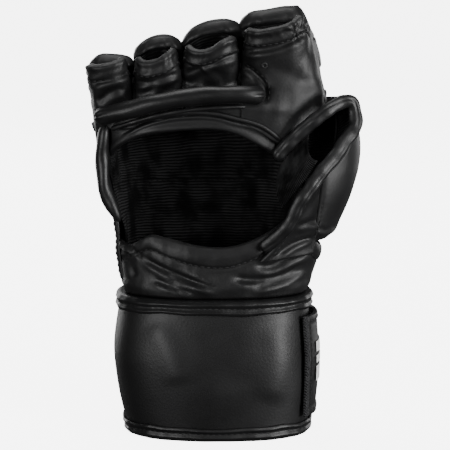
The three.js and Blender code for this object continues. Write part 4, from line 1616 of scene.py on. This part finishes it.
        def surface(u, v):
            point = ruled(u, v)
            over = hand_front(point[..., 0], point[..., 2], PANEL_OVER_HEEL)
            lying = 1 - step_up(0.15, 0.5, v)
            point[..., 1] = mix(point[..., 1], np.minimum(point[..., 1], over), lying)
            return point

        skin = Skin(surface, 0.8, centre=BEHIND_THUMB, rounded=1.2)
        relief = soft(skin.points, 121, 6, 18, 0.45) + 0.6 * np.sin(math.pi * skin.u)
        relief += skin.folds(PANEL_FOLDS)
        panel = skin.build("thumb_palm_leather", "shell leather", 1.8, relief)
        lines = [skin.beside("right", 1.8, 0.03, 0.97), skin.beside("left", 2.6, 0.03, 0.97)]
        thread = sew("thumb_palm", lines)
        settle([panel, thread], blend=THUMB_BEND, replaces=["thumb_palm_panel"])


# ---- Stage ----

LAMPS = [
    ("key lamp", (0.75, -0.85, 0.75), 0.5, 7),
    ("side lamp", (0.92, -0.58, 0.08), 0.4, 13),
    ("front lamp", (-0.74, -0.92, 0.15), 0.5, 7.5),
    ("top lamp", (-0.1, 0.2, 1.1), 0.6, 5),
    ("back lamp", (-0.5, 1.1, 0.6), 0.6, 3.5),
    ("left edge lamp", (-0.8, 0.95, 0.15), 0.6, 4),
    ("right edge lamp", (0.8, 0.95, 0.15), 0.6, 3),
]
FLOOR_REACH = 6000
FLOOR_DROP = 0.05  # keeps the floor clear of the cuff's lower face
FLOOR_GLOW = 6.0
WORLD_STRENGTH = 0.08
CAMERA_HEIGHT_ANGLE = math.radians(9)
CAMERA_DISTANCE = 1.125
CAMERA_LENS = 180
SENSOR_WIDTH = 36
AIM = Vector((0, 0, 0.1035))


class GLOVE_OT_stage(bpy.types.Operator):
    """The pale floor, the soft lamps and the camera"""

    bl_idname = "glove.stage"
    bl_label = "Stage"

    def execute(self, context):
        collection = context.scene.collection
        floor_finish = plain("floor", settings().floor_tone, 0.6, 30, 0.02, 0.02)
        corners = FLOOR_REACH * np.array([[-1, -1, 0], [1, -1, 0], [1, 1, 0], [-1, 1, 0]])
        floor = make_mesh("floor", corners - [0, 0, FLOOR_DROP], np.array([[0, 1, 2, 3]]), "floor")
        surface = floor_finish.node_tree.nodes["Principled BSDF"]
        surface.inputs["Emission Color"].default_value = (1, 1, 1, 1)
        surface.inputs["Emission Strength"].default_value = FLOOR_GLOW
        floor.visible_glossy = False
        floor.visible_diffuse = False
        for name, place, size, power in LAMPS:
            lamp = bpy.data.lights.new(name, "AREA")
            lamp.shape = "DISK"
            lamp.size = size
            lamp.energy = power
            holder = bpy.data.objects.new(name, lamp)
            holder.location = place
            holder.rotation_euler = (AIM - Vector(place)).to_track_quat("-Z", "Y").to_euler()
            collection.objects.link(holder)
        world = bpy.data.worlds.new("studio")
        world.use_nodes = True
        world.node_tree.nodes["Background"].inputs["Color"].default_value = (1, 1, 1, 1)
        world.node_tree.nodes["Background"].inputs["Strength"].default_value = WORLD_STRENGTH
        context.scene.world = world
        camera = bpy.data.cameras.new("camera")
        camera.lens = CAMERA_LENS
        camera.sensor_width = SENSOR_WIDTH
        camera.dof.use_dof = False
        eye = bpy.data.objects.new("camera", camera)
        away = Vector((0, -math.cos(CAMERA_HEIGHT_ANGLE), math.sin(CAMERA_HEIGHT_ANGLE)))
        eye.location = AIM + away * CAMERA_DISTANCE
        eye.rotation_euler = (-away).to_track_quat("-Z", "Y").to_euler()
        collection.objects.link(eye)
        context.scene.camera = eye
        return {"FINISHED"}


class GLOVE_PT_panel(bpy.types.Panel):
    """Lists the steps that build the glove"""

    bl_label = "Training glove"
    bl_idname = "GLOVE_PT_panel"
    bl_space_type = "VIEW_3D"
    bl_region_type = "UI"
    bl_category = "Glove"

    def draw(self, context):
        glove = context.scene.glove
        for name in glove.bl_rna.properties.keys():
            if name not in ("rna_type", "name"):
                self.layout.prop(glove, name)
        for step in STEPS:
            self.layout.operator(step.bl_idname)


STEPS = (
    GLOVE_OT_cuff,
    GLOVE_OT_strap,
    GLOVE_OT_back,
    GLOVE_OT_palm,
    GLOVE_OT_fingers,
    GLOVE_OT_thumb,
    GLOVE_OT_stage,
)
CLASSES = (GloveSettings, *STEPS, GLOVE_PT_panel)


def register():
    for one in CLASSES:
        bpy.utils.register_class(one)
    bpy.types.Scene.glove = bpy.props.PointerProperty(type=GloveSettings)


def unregister():
    del bpy.types.Scene.glove
    for one in reversed(CLASSES):
        bpy.utils.unregister_class(one)


def main():
    register()
    bpy.ops.glove.cuff()
    bpy.ops.glove.strap()
    bpy.ops.glove.back()
    bpy.ops.glove.palm()
    bpy.ops.glove.fingers()
    bpy.ops.glove.thumb()
    bpy.ops.glove.stage()


if __name__ == "__main__":
    main()
